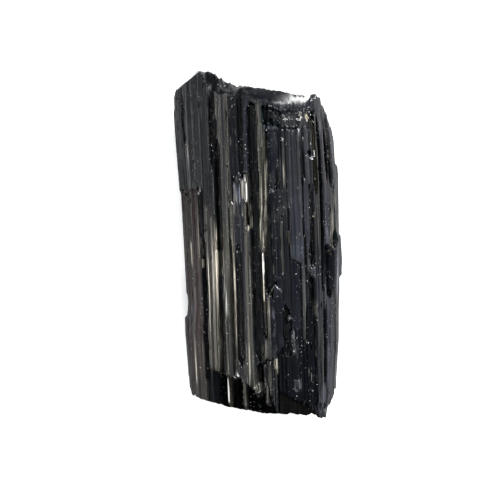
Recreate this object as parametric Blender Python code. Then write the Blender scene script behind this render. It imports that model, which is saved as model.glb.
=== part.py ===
"""A natural black tourmaline crystal: columns grown side by side into one log, broken across at both ends.

It lies on its flattest side on z = 0. X runs across it, Y along it, towards the peaked end.
Lengths here are millimetres, and become metres when the mesh is made.
"""

from typing import NamedTuple

import bpy
import numpy as np
from mathutils import Vector
from mathutils.geometry import delaunay_2d_cdt

METRES = 0.001
MIDDLE = (0.33, -0.34)  # the footprint's centre, in the crystal's own X and Y

# Corners of the cross-section (X, Z), in the order left edge, base, right edge, top.
SECTION = [(-19.9, 10.5), (-14.8, 2.4), (-9.5, 0.0), (11.0, 0.0), (15.5, 2.4), (20.3, 12.0),
           (18.6, 19.6), (12.8, 26.6), (3.6, 29.4), (-9.6, 25.2), (-17.6, 17.6)]
CORNER_CUT = 2.6  # length of each side that its corner's rounding takes up
CORNER_STEPS = 5

# How far the left and right edges stand out from X = 0 along the crystal: (Y, distance).
LEFT_EDGE = [(-42, 17.4), (-32, 18.2), (-21, 18.6), (-14, 17.6), (0, 18.1), (12, 18.4), (24, 19.3),
             (34, 19.7)]
RIGHT_EDGE = [(-42, 16.4), (-34, 17.5), (-16, 18.6), (-5, 19.9), (16, 19.8), (24, 19.1), (31, 17.7),
              (36, 17.2)]
EDGE_GRIP = 4  # the higher, the nearer to the edges the change of width stays

# Both breaks as seen from above: (X, Y) where the top face ends, and along the far one's crest behind it.
FAR_CREST = [(-20, 33), (-18.5, 38), (-15, 40), (-13.2, 41.7), (-10, 41.2), (-5, 37.9), (3.5, 36.3),
             (10, 34.1), (14, 33.6), (15.6, 34.7), (16.8, 33.4), (17.6, 31), (20, 29)]
FAR_EDGE = [(-20, 32.5), (-18.5, 37), (-15, 39.6), (-12.4, 41.2), (-11.4, 38.5), (-9.5, 35.2), (-4, 34.2),
            (2, 32.8), (9, 31.2), (14, 32.2), (17, 31.5), (20, 28)]
NEAR_EDGE = [(-20, -33.5), (-17, -36.5), (-9, -38.8), (0, -40.6), (6.4, -40.9), (10.5, -41.6),
             (11.5, -41.2), (13.5, -42.1), (14.7, -42.4), (15.1, -40), (17, -37.5), (20, -33)]
FAR_RISE = 5.0  # depth over which the far break climbs from its edge to its crest
FAR_FALL = 0.16  # slope at which it falls again behind the crest
NEAR_HOLLOW = 0.15  # slope at which the near break draws in behind its edge
BREAK_LUMPS = 0.6  # height of the lumps on both breaks
LUMPS_FROM = 3.0  # depth over which the lumps and steps grow to their height
# Steps across each break: (turn about Y in degrees, distance from X = 0 and Z = 0, rise beyond it).
FAR_STEPS = [(25, 9.0, -1.8), (160, 8.0, -1.5), (260, -9.0, -1.4)]
NEAR_STEPS = [(200, 3.0, 1.9), (275, -12.0, 1.4), (320, 4.0, 1.5)]
STEP_SLOPE = 0.5  # width of such a step's wall
BREAK_RINGS = (0.9, 0.76, 0.6, 0.43, 0.26, 0.1)  # rings of points on a break, as shares of its outline

WALL = 0.22  # width of a groove's wall
STEP = 0.15  # half the length of a ledge's wall
END_BAND = 1.6  # least length between a ledge and a break
MIDDLE_ROWS = 6
FULL = 99.0  # a column that runs through to the break


class Column(NamedTuple):
    """One column that shows at the surface. Depths lie below the section's outline."""

    start: float
    end: float
    start_depth: float  # depth of its crest beside its start
    end_depth: float
    groove: float  # depth of the grooves beside it
    low: float = -FULL  # it is broken off below this Y
    high: float = FULL  # and above this one
    drop: float = 0.0  # by this depth


# The top face's columns from left to right. Their start and end are X.
TOP_COLUMNS = [
    Column(-16.7, -14.2, 0.1, 0.2, 0.5),
    Column(-13.2, -10.2, 0.5, 0.0, 0.9, low=-30.3, drop=1.9),
    Column(-9.0, -7.1, 0.1, 0.2, 1.2, low=-31.6, drop=2.0),
    Column(-6.4, -5.6, 0.1, 0.1, 1.2, low=-32.2, drop=1.8),
    Column(-4.6, -2.1, 0.2, 0.3, 1.2, low=-33.8, high=32.2, drop=1.6),
    Column(-1.2, -0.2, 1.0, 1.1, 1.6, low=-28.6, high=30.0, drop=1.5),
    Column(0.3, 2.2, 0.0, 0.2, 1.4, low=-27.4, high=31.0, drop=1.5),
    Column(2.6, 5.2, 0.7, 0.5, 1.3, low=-26.4, high=27.5, drop=1.6),
    Column(5.5, 6.9, 0.8, 0.6, 1.4, high=27.4, drop=2.0),
    Column(7.3, 10.0, 0.4, 0.3, 0.9, high=27.2, drop=2.2),
    Column(10.2, 12.4, 0.1, 0.3, 1.0, high=27.4, drop=2.0),
    Column(13.6, 15.2, 0.1, 0.1, 1.3, high=29.8, drop=0.9),
    Column(15.5, 16.5, 0.2, 0.3, 0.7),
]
BASE_COLUMNS = [(-6.8, -4.5), (-3.8, 4.6), (5.2, 8.3)]  # X of the flat columns that it rests on
BASE_GROOVE = 0.6
SIDE_WIDTH = (1.6, 5.4)  # the other columns' least and most width
SIDE_GAP = (0.3, 0.8)
SIDE_CREST = (0.0, 0.3)
SIDE_GROOVE = (0.45, 1.1)
SIDE_BROKEN = 0.35  # share of them that break off short of an end
SIDE_SHORT = (3.0, 14.0)  # by so much
SIDE_DROP = (0.5, 1.1)
SIDE_SEED = 11

BLACK = (0.016, 0.017, 0.019, 1.0)
ROUGHNESS = 0.34


def rounded(corners):
    """A closed outline whose corners are curves, with the sides between them straight."""
    points = []
    corners = np.array(corners, float)
    for before, corner, after in zip(np.roll(corners, 1, axis=0), corners, np.roll(corners, -1, axis=0)):
        start = corner + (before - corner) * CORNER_CUT / np.linalg.norm(before - corner)
        end = corner + (after - corner) * CORNER_CUT / np.linalg.norm(after - corner)
        for t in np.linspace(0.0, 1.0, CORNER_STEPS):
            points.append(start * (1 - t) ** 2 + corner * 2 * t * (1 - t) + end * t ** 2)
    return np.array(points)


class Outline:
    """The section's outline, read by the distance along it."""

    def __init__(self):
        points = rounded(SECTION)
        self.points = np.vstack([points, points[:1]])
        self.along = np.append(0.0, np.cumsum(np.linalg.norm(np.diff(self.points, axis=0), axis=1)))
        self.length = self.along[-1]
        self.half_width = np.abs(points[:, 0]).max()
        right, left = points[:, 0].argmax(), points[:, 0].argmin() + len(points)
        self.top = np.arange(right, left + 1)[::-1] % len(points)
        self.base = np.flatnonzero(points[:, 1] < 1e-9)

    def point(self, along):
        return np.array([np.interp(along % self.length, self.along, axis) for axis in self.points.T])

    def inward(self, along):
        run = self.point(along + WALL) - self.point(along - WALL)
        return np.array([-run[1], run[0]]) / np.hypot(*run)

    def along_at(self, x, part):
        """The distance along the outline at X on one part of it, the top or the base."""
        return np.interp(x, self.points[part, 0], self.along[part])

    def top_height(self, x):
        return np.interp(x, *self.points[self.top].T)


def curve(points, at):
    return np.interp(at, *zip(*points))


def narrowed(x, y, half_width):
    """X moved in at the crystal's edges, which stand out by different amounts along it."""
    edge = curve(LEFT_EDGE if x < 0 else RIGHT_EDGE, y)
    return x - np.sign(x) * (half_width - edge) * (abs(x) / half_width) ** EDGE_GRIP


def uneven(x, z, depth, steps):
    """The lumps and steps of a broken surface."""
    waves = np.sin(0.62 * x + 0.35 * z) * np.sin(0.41 * z - 0.3 * x + 1.0) + 0.4 * np.sin(1.3 * x - 0.9 * z)
    height = BREAK_LUMPS * waves
    for turn, distance, rise in steps:
        beyond = x * np.cos(np.radians(turn)) + z * np.sin(np.radians(turn)) - distance
        height += rise * np.clip(beyond / STEP_SLOPE, 0.0, 1.0)
    return height * min(1.0, depth / LUMPS_FROM)


def far_break(x, z, outline):
    depth = max(0.0, outline.top_height(x) - z)
    edge, crest = curve(FAR_EDGE, x), curve(FAR_CREST, x)
    climb = min(1.0, depth / FAR_RISE)
    behind = max(0.0, depth - FAR_RISE)
    return edge + (crest - edge) * climb * (2 - climb) - FAR_FALL * behind + uneven(x, z, behind, FAR_STEPS)


def near_break(x, z, outline):
    depth = max(0.0, outline.top_height(x) - z)
    return curve(NEAR_EDGE, x) + NEAR_HOLLOW * depth + uneven(x, z, depth, NEAR_STEPS)


def top_columns(outline):
    """The top face's columns as distances along the outline, which runs from right to left there."""
    for column in reversed(TOP_COLUMNS):
        start, end = outline.along_at((column.end, column.start), outline.top)
        crest = {"start_depth": column.end_depth, "end_depth": column.start_depth}
        yield column._replace(start=start, end=end, **crest)


def side_columns(start, end, random):
    """Columns of uneven width that fill a stretch of the outline."""
    count = round((end - start) / (np.mean(SIDE_WIDTH) + np.mean(SIDE_GAP)))
    widths = random.uniform(*SIDE_WIDTH, count)
    gaps = random.uniform(*SIDE_GAP, count + 1)
    scale = (end - start) / (widths.sum() + gaps.sum())
    place = start
    for width, gap in zip(widths, gaps):
        place += gap * scale
        crest = random.uniform(*SIDE_CREST, 2)
        column = Column(place, place + width * scale, *crest, random.uniform(*SIDE_GROOVE))
        if random.random() < SIDE_BROKEN:
            short, drop = random.uniform(*SIDE_SHORT), random.uniform(*SIDE_DROP)
            low_end = random.random() < 0.5
            column = column._replace(drop=drop, **({"low": short - 36} if low_end else {"high": 32 - short}))
        yield column
        place = column.end


def all_columns(outline):
    """Every column in order round the section, from the top face's left edge."""
    random = np.random.default_rng(SIDE_SEED)
    top = list(top_columns(outline))
    base = [Column(*outline.along_at(ends, outline.base), 0.0, 0.0, BASE_GROOVE) for ends in BASE_COLUMNS]
    left = side_columns(top[-1].end - outline.length, base[0].start, random)
    right = side_columns(base[-1].end, top[0].start, random)
    return [*left, *base, *right, *top]


def column_line(column, along, depth, outline):
    """The points from end to end along one edge of a column."""
    section_x, section_z = outline.point(along)
    inward = outline.inward(along)
    near, far = near_break(section_x, section_z, outline), far_break(section_x, section_z, outline)
    low = max(column.low, near + END_BAND)
    high = min(column.high, far - END_BAND)
    middle = np.linspace(low, high, MIDDLE_ROWS + 2)[1:-1]
    rows = [near, low - STEP, low + STEP, *middle, high - STEP, high + STEP, far]
    for y in rows:
        broken_off = y < column.low or y > column.high
        x, z = (section_x, section_z) + inward * (depth + column.drop * broken_off)
        yield narrowed(x, y, outline.half_width), y, z


def side_lines(outline):
    """The lines along the crystal, in order round it: each column's foot, crest edges and other foot."""
    for column in all_columns(outline):
        yield list(column_line(column, column.start, column.groove, outline))
        yield list(column_line(column, column.start + WALL, column.start_depth, outline))
        yield list(column_line(column, column.end - WALL, column.end_depth, outline))
        yield list(column_line(column, column.end, column.groove, outline))


def closing_faces(ring, first_index, height_at, outline, vertices):
    """Closes one end: adds points inside its ring of vertices and returns the triangles between them all."""
    edge = np.array([vertices[index] for index in ring])[:, [0, 2]]
    centre = edge.mean(axis=0)
    random = np.random.default_rng(first_index)
    inside = []
    for share in BREAK_RINGS:
        count = round(len(ring) * share / 2.5)
        for index in (np.arange(count) + random.random(count) * 0.6) * len(ring) / count:
            inside.append(centre + (edge[int(index) % len(ring)] - centre) * share)
    points = [Vector(point) for point in [*edge, *inside]]
    rim = [(index, (index + 1) % len(ring)) for index in range(len(ring))]
    _, _, triangles, origins, _, _ = delaunay_2d_cdt(points, rim, [], 1, 1e-6)
    vertices.extend((x, height_at(x, z, outline), z) for x, z in inside)
    names = [*ring, *range(first_index, first_index + len(inside))]
    return [[names[origins[corner][0]] for corner in triangle] for triangle in triangles]


def crystal_mesh():
    outline = Outline()
    lines = list(side_lines(outline))
    rows = len(lines[0])
    vertices = [point for line in lines for point in line]
    faces = []
    for line in range(len(lines)):
        here, beside = line * rows, (line + 1) % len(lines) * rows
        faces += [(here + row, here + row + 1, beside + row + 1, beside + row) for row in range(rows - 1)]
    near_ring = [line * rows for line in range(len(lines))]
    far_ring = [index + rows - 1 for index in near_ring]
    faces += closing_faces(near_ring, len(vertices), near_break, outline, vertices)
    faces += [face[::-1] for face in closing_faces(far_ring, len(vertices), far_break, outline, vertices)]
    middle = np.array([*MIDDLE, 0.0])
    mesh = bpy.data.meshes.new("tourmaline_crystal")
    mesh.from_pydata((np.array(vertices) - middle) * METRES, [], faces)
    mesh.validate()
    return mesh


def black_tourmaline():
    material = bpy.data.materials.new("black_tourmaline")
    material.use_nodes = True
    shader = material.node_tree.nodes["Principled BSDF"]
    shader.inputs["Base Color"].default_value = BLACK
    shader.inputs["Roughness"].default_value = ROUGHNESS
    shader.inputs["Metallic"].default_value = 0.0
    material.diffuse_color = BLACK
    return material


def main():
    for item in list(bpy.data.objects):
        bpy.data.objects.remove(item)
    collection = bpy.data.collections.new("tourmaline_crystal")
    bpy.context.scene.collection.children.link(collection)
    mesh = crystal_mesh()
    mesh.materials.append(black_tourmaline())
    collection.objects.link(bpy.data.objects.new("tourmaline_crystal", mesh))


main()
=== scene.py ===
import math
from collections import namedtuple

import bmesh
import bpy
import numpy as np
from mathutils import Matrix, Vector
from mathutils.geometry import delaunay_2d_cdt


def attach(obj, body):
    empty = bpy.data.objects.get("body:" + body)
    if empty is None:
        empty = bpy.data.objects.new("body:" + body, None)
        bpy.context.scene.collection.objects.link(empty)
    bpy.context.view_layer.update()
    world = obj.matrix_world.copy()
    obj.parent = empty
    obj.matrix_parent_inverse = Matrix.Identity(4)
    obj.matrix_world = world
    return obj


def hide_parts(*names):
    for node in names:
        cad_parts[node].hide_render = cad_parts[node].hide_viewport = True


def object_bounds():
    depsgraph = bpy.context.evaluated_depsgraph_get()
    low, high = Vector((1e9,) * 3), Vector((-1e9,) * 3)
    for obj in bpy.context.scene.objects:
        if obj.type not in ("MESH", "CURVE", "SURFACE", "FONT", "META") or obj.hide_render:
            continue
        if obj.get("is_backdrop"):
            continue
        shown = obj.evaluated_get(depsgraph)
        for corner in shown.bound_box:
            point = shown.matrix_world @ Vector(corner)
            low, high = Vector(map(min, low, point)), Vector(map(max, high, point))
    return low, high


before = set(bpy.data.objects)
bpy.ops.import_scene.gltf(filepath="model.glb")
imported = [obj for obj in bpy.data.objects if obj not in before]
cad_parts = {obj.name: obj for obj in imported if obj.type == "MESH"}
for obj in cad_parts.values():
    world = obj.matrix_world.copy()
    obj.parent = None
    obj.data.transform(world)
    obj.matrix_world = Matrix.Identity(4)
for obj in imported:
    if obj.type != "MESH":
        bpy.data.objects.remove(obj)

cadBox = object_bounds()
metres = 0.001  # lengths below are in millimetres unless a note says otherwise
full = 99.0  # an end that lies past the crystal's own

# the crystal's main form, the same as its solid's
section = dict(
    middle=(0.33, -0.34),  # the footprint's centre, in the crystal's own x and y
    corners=[(-19.9, 10.5), (-14.8, 2.4), (-9.5, 0.0), (11.0, 0.0), (15.5, 2.4), (20.3, 12.0),
             (18.6, 19.6), (13.8, 26.3), (3.6, 29.4), (-9.6, 25.2), (-17.6, 17.6)],
    cornerCut=2.6,
    cornerSteps=9,
    leftEdge=[(-42, 17.9), (-32, 18.6), (-21, 19.1), (-14, 18.2), (0, 18.65), (12, 19.0), (24, 19.8),
              (34, 20.2)],
    rightEdge=[(-42, 16.8), (-34, 17.9), (-24, 18.9), (-16, 19.2), (-5, 20.0), (16, 20.0), (24, 19.4),
               (31, 18.2), (36, 17.5)],
    edgeGrip=4,  # how much the pull to these edges keeps to the sides
    # columns that stand out or end at the sides: y and how far, at one height only
    leftSteps=[(-21, 0), (-17.6, 0.4), (-17.0, -0.2), (-13, -0.2), (-12.2, -0.2), (-11.6, 0.1), (0, 0),
               (12.6, -0.1), (13.4, 0.2), (24, 0)],
    rightSteps=[(-12, 0), (-9.2, -0.2), (-8.4, 0.5), (-4, 0.45), (1.0, 0.3), (1.5, -0.25), (8, 0),
                (17.8, 0.25), (18.6, -0.3), (24, 0)],
    stepHeight=(11.5, 3.8),
)
breaks = dict(
    farCrest=[(-20, 33), (-18.5, 38), (-15, 40), (-13.2, 41.7), (-10, 41.2), (-5, 37.9), (3.5, 36.3),
              (7, 35.6), (10, 34.8), (13, 34.4), (15.6, 34.9), (16.8, 33.4), (17.6, 31), (18.8, 29.2),
              (20, 28.3)],
    farEdge=[(-20, 32.5), (-18.5, 37), (-15, 39.6), (-12.4, 41.2), (-11.4, 38.5), (-9.5, 35.2), (-4, 34.2),
             (2, 32.8), (4, 32.1), (6, 31.6), (8, 31.4), (10, 31.35), (12, 31.45), (14, 31.5), (16, 31.2),
             (17, 30.9), (17.6, 30.7), (18.8, 28.9), (20, 28)],
    farRise=[(-12, 5.0), (-3, 3.4), (3, 3.1), (5, 2.6), (7, 2.0), (8.5, 1.6), (10, 1.38), (11, 1.34),
             (13, 1.35), (17, 1.3)],  # depth over which the far break climbs from edge to crest, by x
    nearEdge=[(-20, -33.5), (-17, -36.5), (-9, -38.8), (0, -40.6), (6.4, -40.9), (10.5, -41.6),
              (11.5, -41.2), (13.5, -42.1), (14.7, -42.4), (15.1, -39.9), (16.5, -38.6),
              (17.2, -36.5), (20, -33)],
    smooth=(-3.5, 16.9),  # x from which the far break is smooth, and to which
    smoothOver=(3.0, 1.5),  # width over which it turns rough on each side
    smoothJag=0.03,  # how ragged the smooth part is beside the rest
    bulge=0.3,  # how much the smooth slope rounds over
    flatFrom=9.0,  # x from which the slope stays flat where the top face turns down, and how that falls
    flatFall=0.304,
    hollow=(-8.0, 3.2, 2.0, 1.5, 1.7),  # x, half width, depth below the top, half height, depth of the dent
    farFall=0.16,  # how far the breaks lean back below
    nearHollow=0.17,
    nearFlat=3.8,  # depth down to which the near break is square
    nearChips=[(-14, 1.0), (-13, 4.0), (-2, 4.0), (4, 2.4), (6, 1.2)],  # depth where its facets start, by x
    facets=(0.3, 0.9),  # how deep facets cut into the far break, in its rough part and on the flanks
    flanks=(-16.8, 17.3),  # x past which a break is uneven right up to its rim
    flankOver=0.8,
    flankTop=(11.0, 1.5),  # height below which it is so on the left, and over which
    flankLumps=5.0,  # the lumps there are as large as this far below the rim
    lumps=0.6,
    lumpsAfter=1.8,  # depth from which the lumps grow, and over which they do
    lumpsOver=3.0,
    hollowOver=1.4,
    outward=0.35,  # how much of the far break's lumps stands out past its slope
    # painted shade in hollows of the far break: x, y, half width, half height
    dark=[(-10.9, 39.2, 0.9, 1.6), (-9.6, 38.2, 1.5, 2.6), (-8.4, 37.6, 1.0, 1.2), (-7.3, 36.0, 0.9, 0.8),
          (-5.7, 35.0, 1.6, 0.8), (-1.3, 36.4, 2.1, 0.45), (-2.8, 34.9, 0.6, 0.5)],
    # steps across each break: turn about y in degrees, distance, rise beyond it
    farSteps=[(25, 9.0, -1.8), (160, 8.0, -1.5), (260, -9.0, -1.4)],
    nearSteps=[(200, 3.0, 1.9), (275, -12.0, 1.4), (320, 4.0, 1.5)],
    stepSlope=0.5,
    cellSize=2.3,  # the broken columns' mean width
    cellHeight=0.55,
    jag=0.12,  # how ragged the edges of the breaks are
    spacing=0.33,  # between points on a break
)


def roundedOutline(corners, cut, steps):
    points = []
    corners = np.array(corners, float)
    for before, corner, after in zip(np.roll(corners, 1, axis=0), corners, np.roll(corners, -1, axis=0)):
        start = corner + (before - corner) * cut / np.linalg.norm(before - corner)
        end = corner + (after - corner) * cut / np.linalg.norm(after - corner)
        for t in np.linspace(0.0, 1.0, steps):
            points.append(start * (1 - t) ** 2 + corner * 2 * t * (1 - t) + end * t ** 2)
    return np.array(points)


class Outline:
    # the section's outline, read by the distance along it
    def __init__(self):
        points = roundedOutline(section["corners"], section["cornerCut"], section["cornerSteps"])
        self.points = np.vstack([points, points[:1]])
        self.along = np.append(0.0, np.cumsum(np.linalg.norm(np.diff(self.points, axis=0), axis=1)))
        self.length = self.along[-1]
        self.halfWidth = np.abs(points[:, 0]).max()
        right, left = points[:, 0].argmax(), points[:, 0].argmin() + len(points)
        order = np.arange(right, left + 1)[::-1]
        self.top = np.column_stack([points[order % len(points)], self.along[order % len(points)]])
        self.top[:, 2] += self.length * (order >= len(points))
        flat = points[:, 1] < 1e-9
        self.base = np.column_stack([points[flat], self.along[:-1][flat]])

    def point(self, along):
        return np.stack([np.interp(along % self.length, self.along, axis) for axis in self.points.T], axis=-1)

    def inward(self, along, reach=0.5):
        run = self.point(along + reach) - self.point(along - reach)
        return np.stack([-run[..., 1], run[..., 0]], axis=-1) / np.linalg.norm(run, axis=-1, keepdims=True)

    def alongAt(self, x, part):
        return np.interp(x, part[:, 0], part[:, 2])

    def topHeight(self, x):
        return np.interp(x, self.top[:, 0], self.top[:, 1])


outline = Outline()


def curve(points, at):
    return np.interp(at, *zip(*points))


def held(share):
    return np.clip(share, 0, 1)


def latticeNoise(u, v, cellU, cellV, seed, around=None):
    # random heights on a lattice, straight between its points, so it reads as narrow flat facets
    table = np.random.default_rng(seed).uniform(-1.0, 1.0, (1024, 512))
    count = 1024 if around is None else round(around / cellU)
    cellU = cellU if around is None else around / count
    a, b = u / cellU, v / cellV
    i, j = np.floor(a).astype(int), np.floor(b).astype(int)
    fu, fv = a - i, b - j
    fv = fv * fv * (3 - 2 * fv)
    corner = lambda di, dj: table[(i + di) % count, (j + dj) % 512]
    low = corner(0, 0) * (1 - fu) + corner(1, 0) * fu
    high = corner(0, 1) * (1 - fu) + corner(1, 1) * fu
    return low * (1 - fv) + high * fv


def cellNoise(x, z, size, seed):
    # one random value for each cell of a jittered grid, for the broken tops of columns
    random = np.random.default_rng(seed)
    count = 40
    jitter = random.uniform(0.1, 0.9, (count, count, 2))
    value = random.uniform(-1.0, 1.0, (count, count))
    tilt = random.uniform(-0.3, 0.3, (count, count, 2))
    a, b = x / size + count / 2, z / size + 4
    best, found = np.full(np.shape(x), 9.0), np.zeros(np.shape(x))
    for di in (-1, 0, 1):
        for dj in (-1, 0, 1):
            i, j = (np.floor(a).astype(int) + di) % count, (np.floor(b).astype(int) + dj) % count
            across, up = a - (np.floor(a) + di + jitter[i, j, 0]), b - (np.floor(b) + dj + jitter[i, j, 1])
            gap = across ** 2 + up ** 2
            height = value[i, j] + tilt[i, j, 0] * across * size + tilt[i, j, 1] * up * size
            found, best = np.where(gap < best, height, found), np.minimum(gap, best)
    return found


def uneven(x, z, depth, steps, seed, outward):
    # lumps, steps and broken columns
    waves = np.sin(0.62 * x + 0.35 * z) * np.sin(0.41 * z - 0.3 * x + 1.0) + 0.4 * np.sin(1.3 * x - 0.9 * z)
    height = breaks["lumps"] * waves
    for turn, distance, rise in steps:
        beyond = x * math.cos(math.radians(turn)) + z * math.sin(math.radians(turn)) - distance
        beyond = beyond + 0.5 * latticeNoise(x, z, 1.3, 1.3, seed)
        height = height + rise * held(beyond / breaks["stepSlope"])
    height = height + breaks["cellHeight"] * cellNoise(x, z, breaks["cellSize"], seed)
    height = height + 0.2 * cellNoise(x + 3.1, z, 0.9, seed + 1)
    height = height + 0.12 * latticeNoise(x, z, 0.6, 0.6, seed + 2)
    grown = held((depth - breaks["lumpsAfter"]) / breaks["lumpsOver"])
    return height * np.where(height * outward > 0, grown, held(depth / breaks["hollowOver"]))


def onFlank(x, z):
    # 1 on the crystal's flanks, where the breaks are uneven up to the rim
    left, right = breaks["flanks"]
    top, topOver = breaks["flankTop"]
    onLeft = held((left - x) / breaks["flankOver"]) * held((top - z) / topOver)
    return np.maximum(onLeft, held((x - right) / breaks["flankOver"]))


def farBreak(x, z):
    # broken and hollow on the left, a smooth slope on the right
    top, flank = outline.topHeight(x), onFlank(x, z)
    depth = np.maximum(0.0, top - z)
    edge, crest, rise = (curve(breaks[name], x) for name in ("farEdge", "farCrest", "farRise"))
    flat = outline.topHeight(breaks["flatFrom"]) - breaks["flatFall"] * (x - breaks["flatFrom"])
    climb = held((np.where(x > breaks["flatFrom"], np.maximum(flat, top), top) - z) / rise)
    behind = np.maximum(0.0, depth - rise)
    (start, end), (startOver, endOver) = breaks["smooth"], breaks["smoothOver"]
    broken = held(np.maximum(1 - (x - start) / startOver, (x - end) / endOver))
    jag = breaks["smoothJag"] + (1 - breaks["smoothJag"]) * broken
    ragged = breaks["jag"] * jag * latticeNoise(x, z, 0.5, 1.5, 31)
    bulge = broken + (1 - broken) * breaks["bulge"]
    slope = edge + (crest - edge) * climb * (1 + bulge * (1 - climb))
    facets = breaks["facets"][0] * broken + breaks["facets"][1] * flank
    facets = facets * np.minimum(0.0, cellNoise(x, z, 1.3, 16) - 0.2) * held(depth / 0.8)
    middle, wide, below, tall, deep = breaks["hollow"]
    hollow = deep * np.exp(-((x - middle) / wide) ** 4 - ((depth - below) / tall) ** 4)
    chips = 0.45 * cellNoise(x, z, 1.2, 12) * np.exp(-((depth - below) / (tall + 1)) ** 4)
    chips = chips * broken * (x > -12)
    lumps = uneven(x, z, behind + flank * breaks["flankLumps"], breaks["farSteps"], 5, 1)
    lumps = lumps - breaks["farFall"] * behind
    return slope + ragged + facets - hollow + chips + np.where(lumps > 0, breaks["outward"], 1.0) * lumps


def nearBreak(x, z):
    # square at its rim, then facets and lumps
    depth = np.maximum(0.0, outline.topHeight(x) - z)
    ragged = breaks["jag"] * latticeNoise(x, z, 0.55, 1.5, 37)
    behind = np.maximum(0.0, depth - breaks["nearFlat"])
    lumps = uneven(z, x, behind + onFlank(x, z) * breaks["flankLumps"], breaks["nearSteps"], 8, -1)
    facets = 0.45 + 0.42 * cellNoise(x, z, 1.7, 14) + 0.2 * cellNoise(x, z, 0.8, 15)
    facets = np.maximum(0.0, facets * held(depth - curve(breaks["nearChips"], x)))
    return curve(breaks["nearEdge"], x) + breaks["nearHollow"] * behind + ragged + lumps + facets


# how each kind of surface looks: colour, roughness, how strongly it is grooved and how dull it is; the dark,
# dull floor, deep, pit and well finishes are painted shade in groove floors, recesses, pits and wells
Finish = namedtuple("Finish", "tone rough grain dull", defaults=(0.0,))
finishes = dict(
    plain=Finish((0.0057, 0.0063, 0.0079), 0.29, 1.0),
    plate=Finish((0.0060, 0.0064, 0.0075), 0.30, 0.55, 0.05),
    slate=Finish((0.0046, 0.0050, 0.0066), 0.30, 0.8, 0.32),
    dusk=Finish((0.0030, 0.0037, 0.0050), 0.29, 0.8, 0.45),
    navy=Finish((0.0018, 0.0024, 0.0041), 0.28, 0.5, 0.58),
    floor=Finish((0.0022, 0.0027, 0.0035), 0.38, 0.9, 0.70),
    night=Finish((0.0019, 0.0024, 0.0036), 0.31, 0.7, 0.83),
    coal=Finish((0.0014, 0.0013, 0.0010), 0.30, 0.5, 0.86),
    deep=Finish((0.0006, 0.0008, 0.0010), 0.42, 1.2, 0.965),
    gold=Finish((0.0129, 0.0119, 0.0093), 0.27, 1.5),
    brown=Finish((0.0142, 0.0093, 0.0088), 0.33, 1.3, 0.12),
    moss=Finish((0.0082, 0.0083, 0.0073), 0.29, 1.1),
    lilac=Finish((0.0058, 0.0062, 0.0092), 0.29, 0.7, 0.26),
    pit=Finish((0.0019, 0.0031, 0.0033), 0.45, 0.8, 0.86),
    well=Finish((0.0012, 0.0034, 0.0040), 0.35, 0.1, 0.74),
    rough=Finish((0.0024, 0.0026, 0.0031), 0.42, 0.6, 0.65),
    pocket=Finish((0.0040, 0.0046, 0.0058), 0.34, 0.5, 0.45),
    lip=Finish((0.0040, 0.0049, 0.0073), 0.32, 0.2, 0.22),
    glassy=Finish((0.0038, 0.0044, 0.0060), 0.34, 0.1),
)

Strip = namedtuple("Strip", "start end low high startDepth endDepth finish lean fadeLow fadeHigh point",
                   defaults=("plain", 0.0, 1.6, 1.6, 0.0))

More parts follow.
